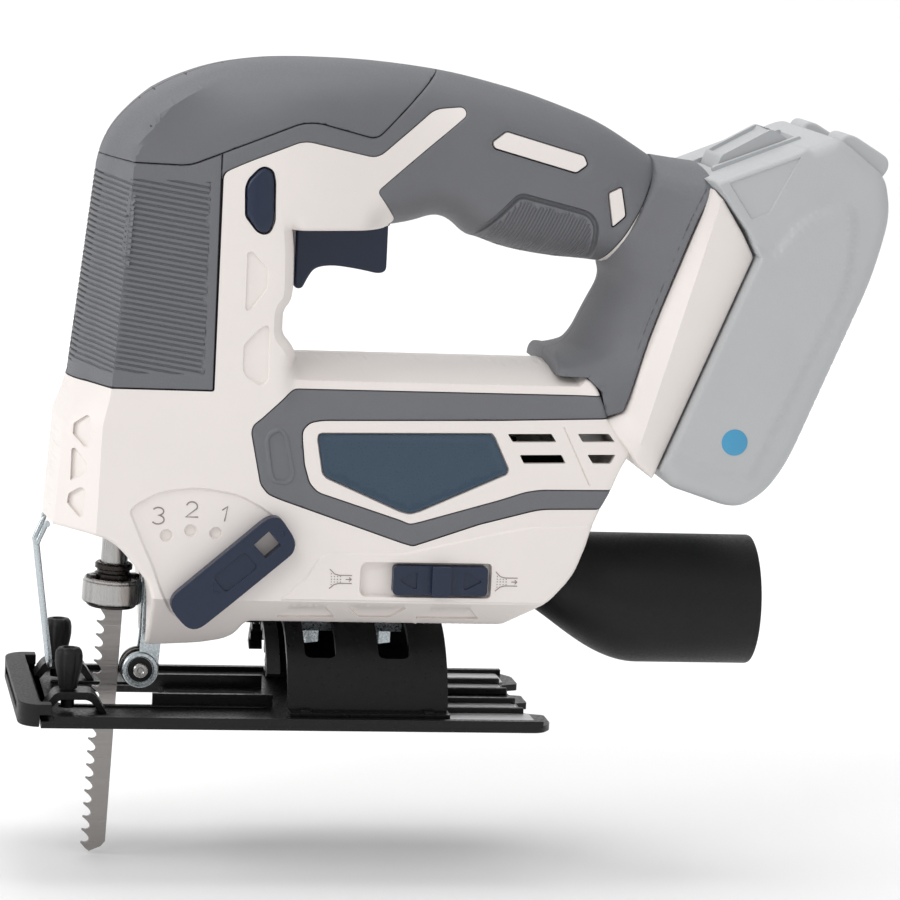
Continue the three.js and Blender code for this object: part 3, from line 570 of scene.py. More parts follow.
REAR = rounded([[82, 107], [88.6, 103.4, 3], [90.6, 98, 2], [92, 93.3, 1], [98.7, 85.1, 1], [99.7, 83.7, 1.5],
                [96.7, 78.2, 1], [94.3, 72.1], [91.3, 66.4], [88.6, 59.7, 1], [87.4, 55, 3], [84, 46, 4],
                [77, 38, 4], [65, 29.5]], closed=False)
BOTTOM = rounded([[65, 29.5], [-12, 29.5, 2], [-15.5, 23.4, 4], [-24.4, 21.2, 4], [-40.4, 20.2]],
                 closed=False)
ARCH = rounded([[-40.4, 20.2], [-40.3, 34, 5], [-41.6, 41, 4], [-45, 45.5, 4], [-51.3, 52.7, 4],
                [-56.6, 55.6, 4], [-71.2, 57.2]], closed=False)
FRONT = rounded([[-71.2, 57.2], [-69.2, 88, 5], [-66.5, 97, 3], [-65.6, 100, 2], [-62, 133]], closed=False)
BODY = np.concatenate([part[:-1] for part in (TOP, HANDLE_END, UNDERSIDE, ROOF, COLUMN, SILL, REAR, BOTTOM,
                                              ARCH, FRONT)])

NOSE_Z = [57, 88, 97, 100, 165, 200]
NOSE_FRONT = [-71.2, -69.2, -66.5, -65.6, -58.6, -54.8]
NOSE_FACE = [-69.6, -67.1, -61.6, -60.3, -54.9, -52]
NOSE_HALF = [20, 20, 17.5, 17, 17, 17]
NOSE_SIDE = [-57.8, -57, -55, -54.7, -50.5, -48]


BODY_HALF, HANDLE_HALF, SILL_HALF, SILL_REACH = 31, 18, 27.6, 4.6


def half_width(p):
    x, z = p.T
    return np.where(z < 106, BODY_HALF, BODY_HALF - (BODY_HALF - HANDLE_HALF) * smooth((x + 10) / 56))


def nose(p, w):
    x, z = p.T
    front, face, half, side = (np.interp(z, NOSE_Z, row)
                               for row in (NOSE_FRONT, NOSE_FACE, NOSE_HALF, NOSE_SIDE))
    crown = half * np.sqrt(np.clip((x - front) / (face - front), 0, 1))
    return np.where(x < face, crown, half + (w - half) * np.clip((x - face) / (side - face), 0, 1))


def crown_widths(x):
    """How far in from the top silhouette the nose's middle strip and the facet beside it reach."""
    strip = np.interp(x, [-60, -50, -43, -30], [3.9, 2.6, 1.2, 0.8])
    return strip, strip + np.interp(x, [-60, -50, -42, -28], [4.2, 3.8, 3.0, 2.5])


def crown(p):
    d = distance(p, TOP)
    strip, facet = crown_widths(p[:, 0])
    faceted = np.where(d < strip, 17 * np.sqrt(np.clip(d / strip, 0, 1)),
                       17 + 14 * np.clip((d - strip) / (facet - strip), 0, 1))
    share = smooth((p[:, 0] + 46) / 30)
    return faceted + (half_width(p) * bulge(d, 19) - faceted) * share


def skin(p):
    """Half the thickness of the tool at a point of the side view, grey covers included."""
    x, z = p.T
    w = half_width(p)
    h = nose(p, w)
    h = np.minimum(h, np.interp(z, [19, 29.4, 37.3, 37.8, 300], [13, 22.6, 31, 99, 99]))
    high = z > 106
    h = np.where(high, np.minimum(h, crown(p)), h)
    h = np.where(high, np.minimum(h, w * bulge(distance(p, UNDERSIDE), 12)), h)
    sill = distance(p, SILL)
    top = np.where(sill < SILL_REACH, SILL_HALF * np.sqrt(np.clip(sill / SILL_REACH, 0, 1)), SILL_HALF
                   + 3.4 * (sill - SILL_REACH) / 9.4)
    h = h + (np.minimum(h, top) - h) * smooth((x + 6) / 5) * smooth((112 - z) / 5)
    edge = distance(p, COLUMN)
    h = h - 2.6 * np.clip(1 - edge / 3, 0, 1) * smooth((z - 104) / 6)
    h = h - ease(edge, 1.2) * smooth((z - 105) / 4)
    for line, r in ((ROOF, 1.6), (HANDLE_END, 1.4), (REAR, 1.4), (BOTTOM, 1.2), (ARCH, 1.4)):
        h = h - ease(distance(p, line), r)
    return np.maximum(h, 0.0)


def depths(r, n=11):
    return [r * (1 - math.cos(t)) for t in np.linspace(0.06, math.pi / 2, n)]


NOSE_ROWS = []
for k in (0.06, 0.15, 0.28, 0.43, 0.6, 0.8, 1.0):
    zs = np.arange(57.5, 186, 2.0)
    front, face = (np.interp(zs, NOSE_Z, row) for row in (NOSE_FRONT, NOSE_FACE))
    NOSE_ROWS.append((np.stack((front + (face - front) * k * k, zs), 1), (0.0,)))
FACE_LINE = dense(np.stack((NOSE_FACE, NOSE_Z), 1)[:5], 1.6, closed=False)
SIDE_LINE = dense(np.stack((NOSE_SIDE, NOSE_Z), 1)[:5], 1.6, closed=False)
EDGE = (0.1, 0.35, 0.7, 1.1)
SKIN_ROWS = [(TOP, depths(19)), (UNDERSIDE, depths(12, 9)),
             (SILL, (0.05, 0.2, 0.5, 0.9, 1.4, 2, 2.8, 3.6, 4.3, 4.6, 5, 8, 11)), (COLUMN, (*EDGE, 1.8, 3)),
             *((line, EDGE) for line in (ROOF, REAR, BOTTOM, ARCH, HANDLE_END)), *NOSE_ROWS]
STRIP_LINE, FACET_LINE = (np.array([q + n * w
                                    for q, n, w in zip(TOP, offset(TOP, -1, False) - TOP,
                                                       crown_widths(TOP[:, 0])[k]) if q[0] < -24
                                    and q[1] > 160]) for k in (0, 1))
CREASES = [STRIP_LINE, FACET_LINE, FACE_LINE, SIDE_LINE, dense([[-38, 37.3], [72, 37.3]], 1.6, closed=False),
           dense([[-2, 92.7], [92, 93.6]], 1.6, closed=False)]

# ------------------------------------------------------- areas of the side view
GAP, SEAM = 0.22, 0.11
CAP_LINE = [[-57.3, 164.9], [-34.5, 164.4, 3], [-2.6, 177.5, 2.5], [2.7, 177.7, 2.5], [20.7, 173.1, 2.5],
            [41.4, 193.4]]
STRIPE = [[-24.6, 162.6, 2], [-17.8, 165.8, 3], [-1.5, 172.5, 3], [21.2, 167.5, 3], [38.4, 182, 2.5],
          [47.2, 182.8, 1.5], [48.2, 180.6, 1.5], [21.4, 157.9, 1.6], [28.4, 149, 1], [26.6, 143]]
END = [[96, 120], [91.8, 137.9], [101, 153, 8], [105, 162, 5], [108.4, 170], [116, 186]]
CAP = rounded([[-90, 164.9], *CAP_LINE, [50, 215], [-90, 215]])
COVER = rounded([[-90, 99.4], [-25.2, 99.1, 0.8], [-25.2, 168.2], *[p for p in CAP_LINE[1::-1]],
                 [-90, 164.9]])
GRIP = rounded([[-25.2, 168.2], *CAP_LINE[2:], [50, 215], [124, 215], *END[::-1], [40, 120], *STRIPE[::-1],
                [-25.2, 160.5]])
UNDER = rounded([[-90, 99.2], [-24.9, 98.9, 0.8], *STRIPE, [40, 120], *END, [124, 215], [-90, 215]])
LONG_INSERT = rounded([[55.8, 173], [60.1, 176.2], [83.9, 169.8], [84.9, 167.2], [81.4, 164.7],
                       [56.5, 171.2]], 0.8, radius=0.8)
SQUARE_INSERT = rounded([[91.4, 159.1], [95.5, 161], [97, 152.4], [93.1, 148.9]], 0.8, radius=0.8)
PAD = rounded([[50, 142], [53, 146.5, 1], [64.6, 158.7, 2.5], [86.6, 153.6, 3], [89.2, 149.5, 2], [89.2, 128],
               [50, 128]])
PAD_LOW = inset(PAD, 1.3)
BAND = rounded([[-13.8, 87.3, 1.2], [-13.2, 89.4, 1], [-10.7, 91.5], [-2.8, 99.1, 1.2], [-1.1, 100.1, 1],
                [90, 100.1], [97, 99.8], [97, 93.8], [90.2, 93.3], [59.7, 92.2], [6.9, 91, 1.5],
                [3.4, 90.2, 1.2], [1.5, 88, 1.2], [1.6, 85.3], [2.5, 77.9, 1], [4.2, 72.6, 1.2],
                [6.6, 70, 1.6], [31.3, 62.2, 1], [34.3, 61, 1], [37.2, 61.7, 1], [60.8, 68.7, 1],
                [68.2, 71.2, 1.5], [72.7, 72, 2], [101, 72.4], [101, 66.5], [91.3, 66.3], [73, 65.9, 3],
                [55.2, 61.1, 1], [39, 55.4, 1.2], [35.5, 54.2, 1], [31.6, 55.3, 1], [-4.5, 67.4, 1.2],
                [-8.1, 68.9, 1.2], [-10.5, 71.8, 1.2]])
OBLONG = rounded([[-8.8, 85.2, 1], [-7.7, 87, 0.8], [-5.3, 88, 0.8], [-3.8, 86.2, 1], [-1.3, 75.5, 1],
                  [-1.8, 73.6, 0.8], [-3.2, 72.8, 0.8], [-6.2, 73.2, 0.8], [-7.2, 75.2, 1]], 0.8)
BADGE = rounded([[5.7, 85.4, 0.5], [5.9, 87.2, 0.8], [7.1, 87.6, 0.5], [57.7, 88.6, 0.8], [58.8, 87.2, 0.5],
                 [63.4, 77.7, 0.8], [62.8, 76.1, 0.5], [37.1, 64.4, 1], [34.2, 63.6, 1], [31.2, 64.3, 1],
                 [8.8, 73.9, 0.8], [7.5, 75.5, 0.5]])
VENTS = [rounded(q, 0.9, radius=0.5) for q in ([[62.2, 88.4], [75.4, 88.7], [77, 86.2], [63.9, 85.9]],
                                               [[66.1, 82.2], [78.7, 82.5], [80.1, 79.9], [67.5, 79.6]],
                                               [[83.2, 88.9], [92.6, 89.1], [94.6, 86.6], [84.8, 86.4]],
                                               [[86.4, 82.7], [95, 82.9], [93.6, 80.1], [88.2, 80]])]
FAN_AREA = rounded([[-48.5, 63, 1], [-47.1, 65.1, 1.5], [-39.7, 69.4, 3], [-28.1, 70.9, 4], [-16.3, 68.9, 3],
                    [-9.7, 65.4, 2], [-4.2, 61.5, 2], [0.5, 55.7, 1.5], [0.8, 53.8, 1.2], [-2.2, 49.9, 2],
                    [-15.1, 38.7, 1], [-26.5, 29.9, 1], [-28.6, 28.7, 1], [-32.4, 29.8, 1], [-35.4, 33, 2],
                    [-38.6, 39.5, 2], [-41.2, 46.6, 1], [-45, 54.8, 2]])
TRAPEZOIDS = [rounded(q, 0.8, radius=0.8) for q in ([[-3.6, 31.2], [-0.2, 35], [10.7, 35.4], [14.3, 31.4]],
                                                    [[17.3, 35.5], [35.1, 35.5], [30.6, 31.6], [21.2, 31.5]],
                                                    [[37.8, 31.5], [42.2, 35.6], [53.8, 35.7], [57.5, 31.5]])]
TRIANGLES = [rounded(q, 0.7, radius=0.6) for q in (
    [[-64.8, 87.6], [-61, 90.6], [-60.2, 89.9], [-60.5, 81.1], [-61.6, 80.9], [-65, 84.3]],
    [[-65.2, 80.2], [-64, 80.5], [-60.8, 76.3], [-60.8, 73.5], [-65.3, 70.5]],
    [[-65.7, 66.8], [-62.6, 69.3], [-61.2, 69], [-61.5, 60.5], [-62.7, 60.4], [-66, 64]])]
PANELS = [rounded([[-17, 139.9, 0.8], [-15.6, 140.3, 0.8], [-10.7, 135.4, 0.8], [-10.3, 134.3, 0.6],
                   [-10.4, 129.4, 1], [-15.4, 122.6, 0.8], [-16.9, 122.7, 0.8]], 0.9),
          rounded([[-17, 112.8, 1], [-12.4, 118, 1], [-10.1, 118.9, 0.8], [-9.3, 117.4, 0.8],
                   [-9, 102.6, 1.4], [-11.1, 100.5, 1.2], [-15.9, 103.3, 1], [-17, 105.5, 1]], 0.9)]
LOCK = rounded([[-17.9, 158.5, 0.9], [-17.1, 160.9, 0.9], [-14.3, 163.9, 1], [-12.6, 164.5, 0.9],
                [-10.5, 163.4, 0.9], [-9.8, 160.5, 0.9], [-9.5, 149, 1], [-10.7, 146, 1], [-12.4, 145.4, 0.9],
                [-14.2, 146.2, 0.9], [-17.6, 150.4, 0.9]], 0.8)
BLOW_SLOT = rounded([[20.1, 39, 2.6], [59.4, 39.1, 1.4], [59.4, 49.6, 1.4], [20.1, 49.5, 2.6]], 0.9)
BLOW_PANEL = rounded([[-3.8, 37.5, 1], [3.9, 44.4], [8, 51.2, 2], [11, 52, 1], [31.8, 52.1, 3], [43.6, 54.9],
                      [70, 61, 6], [102, 62], [102, 37.5]], 1.2)
GROOVE = rounded([[78.6, 90.8], [79.2, 90.8], [87.9, 73.4], [87.3, 73.4]], 1.2)

# --------------------------------------------------------------- the clamshell


def inner_wall(p):
    """How near the middle plane the clamshell's edge walls reach: open round the fork and the trigger."""
    x, z = p.T
    fork = (x < -24) & (x > -58) & (z < 58)
    trigger = (z > 126) & (z < 147) & (x > -5) & (x < 29)
    return np.where(fork, 10.2, np.where(trigger, 6.6, 0.15))


COMMON = [(UNDER, 1.7, 0.25, (LONG_INSERT, SQUARE_INSERT)), (BAND, 1.4, 0.25, ()), (BADGE, 1.5, 0.3, ()),
          *((q, 1.3, 0.35, ()) for q in TRAPEZOIDS), *((q, 1.6, 0.35, ()) for q in TRIANGLES),
          *((q, 0.9, 0.4, ()) for q in PANELS), (GROOVE, 0.4, 0.2, ())]
LEFT_ONLY = [(FAN_AREA, 1.0, 0.7, ()), *((circle(x, z, 1.9, 28), 1.2, 0.3, ())
                                         for x, z in ((-37.3, 56.1), (-30.2, 57.7), (-22.8, 57))),
             (BLOW_SLOT, 2.4, 0.4, ())]
BIG = np.array([[-95, -5], [140, -5], [140, 230], [-95, 230]], float)
SHELL = dict(limits=BODY, hidden=((UNDER, (LONG_INSERT, SQUARE_INSERT)), (BAND, ())), lines=CREASES,
             rows=SKIN_ROWS, edge=0, inner=inner_wall, solid=2.2)
relief("housing", BIG, skin, WHITE, "housing", holes=(*VENTS, inset(LOCK, -0.5)), recesses=COMMON + LEFT_ONLY
       + [(BLOW_PANEL, -0.45, 0.6, ())], sides=(LEFT,), **SHELL)
relief("housing", BIG, skin, WHITE, "housing", holes=(*VENTS, circle(80, 95.5, 3.4, 28)), recesses=COMMON
       + [(BLOW_PANEL, -0.45, 0.6, ())], sides=(RIGHT,), **SHELL)

# --------------------------------------------------- grey covers and overmoulds
RIB_PITCH, RIB_SLOPE = 1.63, math.tan(math.radians(9))
RIB_LOW, RIB_HIGH, RIB_END = 103.6, 160.1, -27.9
FIELD = rounded([[-90, 103.4], [-27.7, 103.7, 0.6], [-28, 160, 0.6], [-58.4, 160.2], [-90, 160.2]], 1.3)


def ribs(p):
    x, z = p.T
    phase = ((z + RIB_SLOPE * x) / RIB_PITCH) % 1
    groove = np.clip(np.interp(phase, [0, 0.16, 0.34, 0.52, 1], [0, 1, 1, 0, 0]), 0, 1)
    return 0.5 * groove * ramp(p, FIELD, 0.4)


rib_lines = []
for k in range(int((99 - 15) / RIB_PITCH), int(164 / RIB_PITCH) + 2):
    for part in (0, 0.16, 0.34, 0.52):
        level = (k + part) * RIB_PITCH + RIB_SLOPE * 60
        start, face = np.interp(level, NOSE_Z, NOSE_FRONT), np.interp(level, NOSE_Z, NOSE_FACE)
        xs = np.concatenate((start + (face - start) * np.linspace(0.05, 1, 13) ** 2,
                             np.arange(face + 1.2, RIB_END, 1.8)))
        zs = (k + part) * RIB_PITCH - RIB_SLOPE * xs
        keep = (zs > RIB_LOW) & (zs < RIB_HIGH) & (xs > np.interp(zs, NOSE_Z, NOSE_FRONT) + 0.02)
        if keep.sum() > 2:
            rib_lines.append(np.stack((xs[keep], zs[keep]), 1))
relief("front_cover", inset(COVER, SEAM), skin, GREY, "housing", limits=BODY, press=ribs,
       lines=[*rib_lines, FACE_LINE, SIDE_LINE], rows=SKIN_ROWS[:1] + NOSE_ROWS,
       recesses=[(FIELD, 0.0, 0.4, ())], edge=0.5, inner=0, solid=1.3, joined=True, stands_for="front_cover",
       sharp=28)
relief("top_cap", inset(CAP, SEAM), skin, GREY, "housing", limits=BODY,
       lines=[FACE_LINE, SIDE_LINE, STRIP_LINE, FACET_LINE], rows=SKIN_ROWS[:1] + NOSE_ROWS, edge=0.6,
       inner=0, solid=1.3, joined=True, stands_for="top_cap")

PAD_PITCH = 1.05
PAD_LEAN = math.tan(math.radians(24))


def grip(p):
    x, z = p.T
    phase = ((x - PAD_LEAN * z) / PAD_PITCH) % 1
    rib = np.interp(phase, [0, 0.2, 0.5, 0.7, 1], [0, 1, 1, 0, 0])
    return skin(p) + 0.15 - 0.4 * rib * ramp(p, inset(PAD_LOW, 0.8), 0.5)


pad_lines = []
for k in range(-24, 60):
    for part in (0, 0.2, 0.5, 0.7):
        zs = np.arange(137, 158, 1.4)
        line = np.stack(((k + part) * PAD_PITCH + PAD_LEAN * zs, zs), 1)
        keep = inside(line, inset(PAD_LOW, 1.0))
        if keep.sum() > 1:
            pad_lines.append(line[keep])
relief("handle_grip", inset(GRIP, SEAM), grip, GREY, "housing", limits=BODY,
       holes=(inset(LONG_INSERT, -0.3), inset(SQUARE_INSERT, -0.3)), rows=SKIN_ROWS, lines=pad_lines,
       recesses=[(PAD, 1.4, 0.5, (PAD_LOW,)), (inset(LONG_INSERT, -2.0), 0.5, 1.4, ()),
                 (inset(SQUARE_INSERT, -1.8), 0.5, 1.2, ())], edge=0.6, inner=0.15, solid=1.3)
relief("waist_band", inset(BAND, GAP), lambda p: skin(p) + 0.1, GREY, "housing", limits=BODY, rows=SKIN_ROWS,
       recesses=[(inset(OBLONG, -1.1), -0.35, 0.5, ()), (OBLONG, 0.5, 0.5, ())],
       edge=0.5, inner=25, solid=1.0)
relief("badge", inset(BADGE, 0.45), lambda p: skin(p) - 0.35, SLATE, "housing", limits=BODY,
       recesses=[(inset(BADGE, 1.6), 0.15, 0.3, ())], edge=0.4, solid=0.9)

# --------------------------------------------------------- collar and the foot
COLLAR_FRONT = rounded([[106.8, 169.7], [105.1, 162, 5], [101.1, 153, 8], [92.3, 137.7, 2], [93.9, 132.3, 4],
                        [89.9, 124.7, 6], [85.3, 114.8, 4], [81.5, 111.4, 3], [77.4, 110.6, 1],
                        [77.2, 105.4]], closed=False)
COLLAR_REAR = rounded([[91.2, 93.8], [96.8, 95.6, 1], [107, 125.7, 8], [117.5, 154.2, 8], [122.2, 163.3, 3],
                       [120.6, 168, 3]], closed=False)
COLLAR = rounded([*[tuple(p) for p in COLLAR_FRONT], (86, 105.2), (90.2, 101.3), (91, 97),
                  *[tuple(p) for p in COLLAR_REAR], (111, 169.2)])
WINDOW_SIDE = np.array([p for p in COLLAR_FRONT if p[1] < 137.7 and p[0] > 79])
SHELF_EDGE = np.array([p for p in COLLAR_FRONT if p[0] < 83])
HANDLE_SEAM = np.array([p for p in COLLAR_FRONT if p[1] > 138.5])
COLLAR_TOP = dense([[106.8, 169.7], [111, 169.2], [120.6, 168]], closed=False)
SILL_JOIN = dense([[77.2, 105.4], [86, 105.2], [90.2, 101.3], [91, 97], [91.2, 93.8]], closed=False)


def collar(p):
    rear, seam = distance(p, COLLAR_REAR), distance(p, np.concatenate((HANDLE_SEAM, WINDOW_SIDE)))
    h = 18.2 + 8.6 * (seam / np.maximum(seam + rear, 1e-6)) ** 1.3
    h = h + (30.4 - h) * smooth((119 - p[:, 1]) / 20)
    h = h * bulge(distance(p, WINDOW_SIDE) + 0.9 * np.clip(112.5 - p[:, 1], 0, 9) ** 1.2,
                  11) * bulge(distance(p, COLLAR_TOP), 9)
    return (h - ease(rear, 0.8) - 1.3 * ease(distance(p, HANDLE_SEAM), 1.6)
            - ease(distance(p, SILL_JOIN), 0.7) - 1.5 * ease(distance(p, SHELF_EDGE), 1.5))


relief("collar_grip", COLLAR, collar, GREY, "housing", limits=COLLAR,
       rows=[(WINDOW_SIDE, depths(11)), (COLLAR_TOP, depths(10, 9)), (COLLAR_FRONT, EDGE),
             (COLLAR_REAR, (0.1, 0.3, 0.6, 0.9))], edge=0, inner=0.15, solid=2.0)

PACK = (119.7, 109.0)
PN, PU = np.array((0.9278, -0.3730)), np.array((0.3730, 0.9278))


def pack_place(n, y, u):
    return np.stack((PACK[0] + n * PN[0] + u * PU[0], y, PACK[1] + n * PN[1] + u * PU[1]), 1)


def to_pack(x, z):
    d = np.array((x - PACK[0], z - PACK[1]))
    return [d @ PN, d @ PU]


FOOT = rounded([to_pack(91.4, 92.8), to_pack(98, 84.9), to_pack(101.8, 79.6), [-0.1, -35.8], [-0.1, 36.4],
                to_pack(129.3, 149.7), to_pack(120.6, 162.6), to_pack(118.3, 154.4), to_pack(107.4, 125.3),
                to_pack(97.3, 95.6)], 1.3, radius=1.0)
FOOT_CREASE = rounded([to_pack(101.6, 87), to_pack(117.8, 144.8), to_pack(121.6, 159)], 1.4, closed=False,
                      radius=3)
FOOT_FRONT = rounded([to_pack(91.4, 92.8), to_pack(97.3, 95.6), to_pack(107.4, 125.3), to_pack(118.3, 154.4),
                      to_pack(120.6, 162.6)], closed=False)
FOOT_AHEAD = [2 * FOOT_CREASE[0] - FOOT_CREASE[4], *FOOT_CREASE, 2 * FOOT_CREASE[-1] - FOOT_CREASE[-5],
              (-60, 70), (-60, -60)]
FOOT_BACK = dense([[-0.1, -35.8], [-0.1, 36.4]], closed=False)


def foot(p):
    front, crease, back = distance(p, FOOT_FRONT), distance(p, FOOT_CREASE), distance(p, FOOT_BACK)
    before = np.where(front + crease > 0, front / np.maximum(front + crease, 1e-6), 0)
    behind = crease / np.maximum(crease + back, 1e-6)
    ahead = inside(p, FOOT_AHEAD)
    return np.where(ahead, 29.5 + 5 * before, 34.5 - 2.6 * behind)


foot_body = relief("battery_foot", FOOT, foot, WHITE, "housing", limits=FOOT, lines=[FOOT_CREASE], edge=0.9,
                   inner=0, solid=0, joined=True, stands_for="battery_foot", place=pack_place)


def box_outline(x0, x1, z0, z1):
    return [[x0, z0], [x1, z0], [x1, z1], [x0, z1]]


def carve(made, outline, low, high, place):
    """Cuts an extruded outline, in millimetres, out of a finished solid."""
    verts, faces = solid_mesh(rounded(outline, 50), low, high, along("Y"))
    cutter = plain("cutter", place(*np.array(verts).T) * MM, faces)
    mod = made.modifiers.new("channel", "BOOLEAN")
    mod.operation, mod.solver, mod.object = "DIFFERENCE", "EXACT", cutter
    bpy.context.view_layer.update()
    mesh = bpy.data.meshes.new_from_object(made.evaluated_get(bpy.context.evaluated_depsgraph_get()))
    made.modifiers.clear()
    made.data = mesh
    bpy.data.objects.remove(cutter)


carve(foot_body, box_outline(-13.6, -6, -30.6, 70), -21.4, 21.4, pack_place)
carve(foot_body, box_outline(-6.1, 5, -30.6, 70), -17.9, 17.9, pack_place)

# ---------------------------------------------------------------- battery pack
CASE_JOINT = rounded([[-20.9, 51.5], [-5.5, 42.3], [0.6, 36.9], [0.6, -32.5]], closed=False)
CASE_DECK = dense([[1.2, 72.8], [-20.9, 51.5]], closed=False)
CASE_BACK = rounded([[0.6, -32.5], [5, -35.6, 2], [27, -34, 6], [32.8, -25.6, 4], [35.2, -15, 8],
                     [35.2, 46, 10], [32.2, 64.5, 6], [26, 74, 4], [10, 78.4, 3], [6.4, 78, 3], [1.2, 72.8]],
                    closed=False)
CASE = np.concatenate((CASE_BACK[:-1], CASE_DECK[:-1], CASE_JOINT[:-1]))
SHOULDER = rounded([[-30, 44], [3, 39.5, 2], [6.2, 53, 6], [15, 61.5, 5], [20.5, 62.5, 4], [25.2, 54, 6],
                    [29.2, 39, 6], [26.6, -25], [12, -27], [-30, -27]], 1.3, radius=3)
GRAIN_AREA = rounded([[-17.5, 53.2], [-6.5, 46], [-2.3, 50.2], [-0.6, 69.2]], 1.1, radius=0.8)


def case(p):
    rounding = ease(distance(p, CASE_BACK),
                    4.5) + ease(distance(p, CASE_DECK), 1.2) + ease(distance(p, CASE_JOINT), 1.0)
    return 37.4 - rounding - 1.2 * (1 - ramp(p, SHOULDER, 2.2))


battery = relief("battery_case", CASE, case, BATTERY, "battery", limits=CASE,
                 rows=[(CASE_BACK, depths(4.5, 8)), (CASE_DECK, EDGE), (CASE_JOINT, EDGE)], edge=0, inner=0,
                 solid=0, joined=True, recesses=[(SHOULDER, 0.0, 2.2, ()), (GRAIN_AREA, 0.5, 0.4, ())],
                 stands_for="battery_case", place=pack_place)
carve(battery, [[-16.8, 51.2], [2.6, 66.2], [2.6, 95], [-16.8, 95]], -11.2, 11.2, pack_place)
carve(battery, box_outline(4, 32, -29, 55), -33, 33, pack_place)
carve(battery, box_outline(-1, 5, -24, 30), -14, 14, pack_place)
for side in (LEFT, RIGHT):
    y = sorted((side * 14.8, side * 31.6))
    prism(f"battery_ridge_{SIDE[side]}", [[9, 75.6, 0], [25.2, 71.8, 0], [26.4, 76.4, 1.8], [25, 79.3, 2],
                                          [12.4, 81.2, 2], [9.6, 80.2, 1.4]], *y, BATTERY, "battery",
          bevel=1.5, segments=4, place=pack_place)
prism("battery_latch_button", [[-16.4, 55.2, 0.4], [2.2, 69.6, 0.4], [2.2, 71.6, 0.6], [-0.6, 72.6, 1],
                               [-5.8, 73.4, 1.2], [-16.6, 60, 1.2]], -10.7, 10.7, BATTERY, "latch", bevel=0.7,
      stands_for=("battery_latch_button",), place=pack_place,
      cuts=[([[-15, 60.4], [-6.2, 71.2], [-5.2, 75], [-18, 60]], -8.6, 8.6)])
for side in (LEFT, RIGHT):
    y = sorted((side * 11.3, side * 13.6))
    prism(f"battery_latch_cheek_{SIDE[side]}", [[-17.6, 54.4, 0.4], [3.4, 73.4, 0.6], [2.2, 75.0, 0.8],
                                                [-18.4, 55.6, 0.8]], *y, BATTERY, "battery", bevel=0.6,
          place=pack_place)
lathe("battery_dot", [(0, 0.55), (3.1, 0.5), (3.9, 0.2), (3.9, -1.2), (0, -1.2)], BLUE, "battery",
            Matrix.Translation((129.2, -37.3, 88.3)) @ Matrix.Rotation(math.pi / 2, 4, "X"))

# ------------------------------------------------------------------ the nozzle


NECK_Z, PORT_Z, PORT_RADIUS = 43, 34.3, 19.7


def nozzle():
    rings, steps = [], 72
    def ring(x, r, z):
        rings.append((x, r, z))
    for x in np.linspace(70.5, 75.5, 3):
        ring(x, 10.5, NECK_Z)
    for t in np.linspace(0, 1, 22):
        rise = math.sin(t * math.pi / 2) ** 1.15
        ring(76 + 34.5 * t, 11.2 + (PORT_RADIUS - 11.2) * rise, NECK_Z + (PORT_Z - NECK_Z) * rise)
    for x, r in ((125, PORT_RADIUS), (144.2, PORT_RADIUS), (144.8, 19.5), (145, 19.1)):
        ring(x, r, PORT_Z)
    back = [(145, 18.1, PORT_Z), (144.4, 17.8, PORT_Z), (110, 17.7, PORT_Z)]
    for t in np.linspace(1, 0, 12)[1:]:
        rise = math.sin(t * math.pi / 2) ** 1.15
        back.append((76 + 34.5 * t, 9.2 + (17.7 - 9.2) * rise, NECK_Z + (PORT_Z - NECK_Z) * rise))
    back.append((70.5, 8.5, NECK_Z))
    rings.extend(back)
    turn = np.linspace(0, math.tau, steps, endpoint=False)
    verts = [(x, r * math.sin(a), z + r * math.cos(a)) for x, r, z in rings for a in turn]
    count = len(rings)
    faces = [(k * steps + i, ((k + 1) % count) * steps + i, ((k + 1) % count) * steps + (i + 1) % steps,
              k * steps + (i + 1) % steps) for k in range(count) for i in range(steps)]
    return add("dust_nozzle", verts, [f[::-1] for f in faces], BLACK, "nozzle", ("dust_nozzle",), sharp=40)


nozzle()

# ----------------------------------------------------------- controls
prism("trigger", [[0.4, 126.9, 1.2], [2.8, 126.6, 1.4], [4.6, 130.5, 3], [6.6, 133.2, 3], [11.8, 134, 4],
                  [19, 133.1, 4], [25.6, 131.8, 1.6], [27.9, 132.6, 1.6], [27.9, 153], [0.4, 153]], -6, 6,
      NAVY, "trigger", bevel=1.4, segments=4, stands_for=("trigger",), step=0.9)


def button(p):
    return 32.0 - ease(distance(p, LOCK, True),
                       1.1) - 0.55 * np.clip((p[:, 0] + 14.2) / 3.2, 0,
                                             1) - 0.6 * np.clip((-15.4 - p[:, 0]) / 1.6, 0, 1)


relief("lock_off_button", LOCK, button, NAVY, "lock_button", limits=LOCK, edge=0, inner=24, solid=0,
       sides=(LEFT,), rows=[(LOCK, EDGE)], grid=1.2,
       lines=[dense([[-14.2, 149], [-14.2, 161]], closed=False),
              dense([[-15.4, 149], [-15.4, 160]], closed=False)], stands_for="lock_off_button", sharp=30)

LEVER = Vector((-29.4, 0, 35.8))
LEVER_TURN = math.radians(49)
LEVER_SEAT = 31.0


def lever_place(u, y, v):
    c, s = math.cos(LEVER_TURN), math.sin(LEVER_TURN)
    return np.stack((LEVER.x + u * c + v * s, -LEVER_SEAT - y, LEVER.z - u * s + v * c), 1)


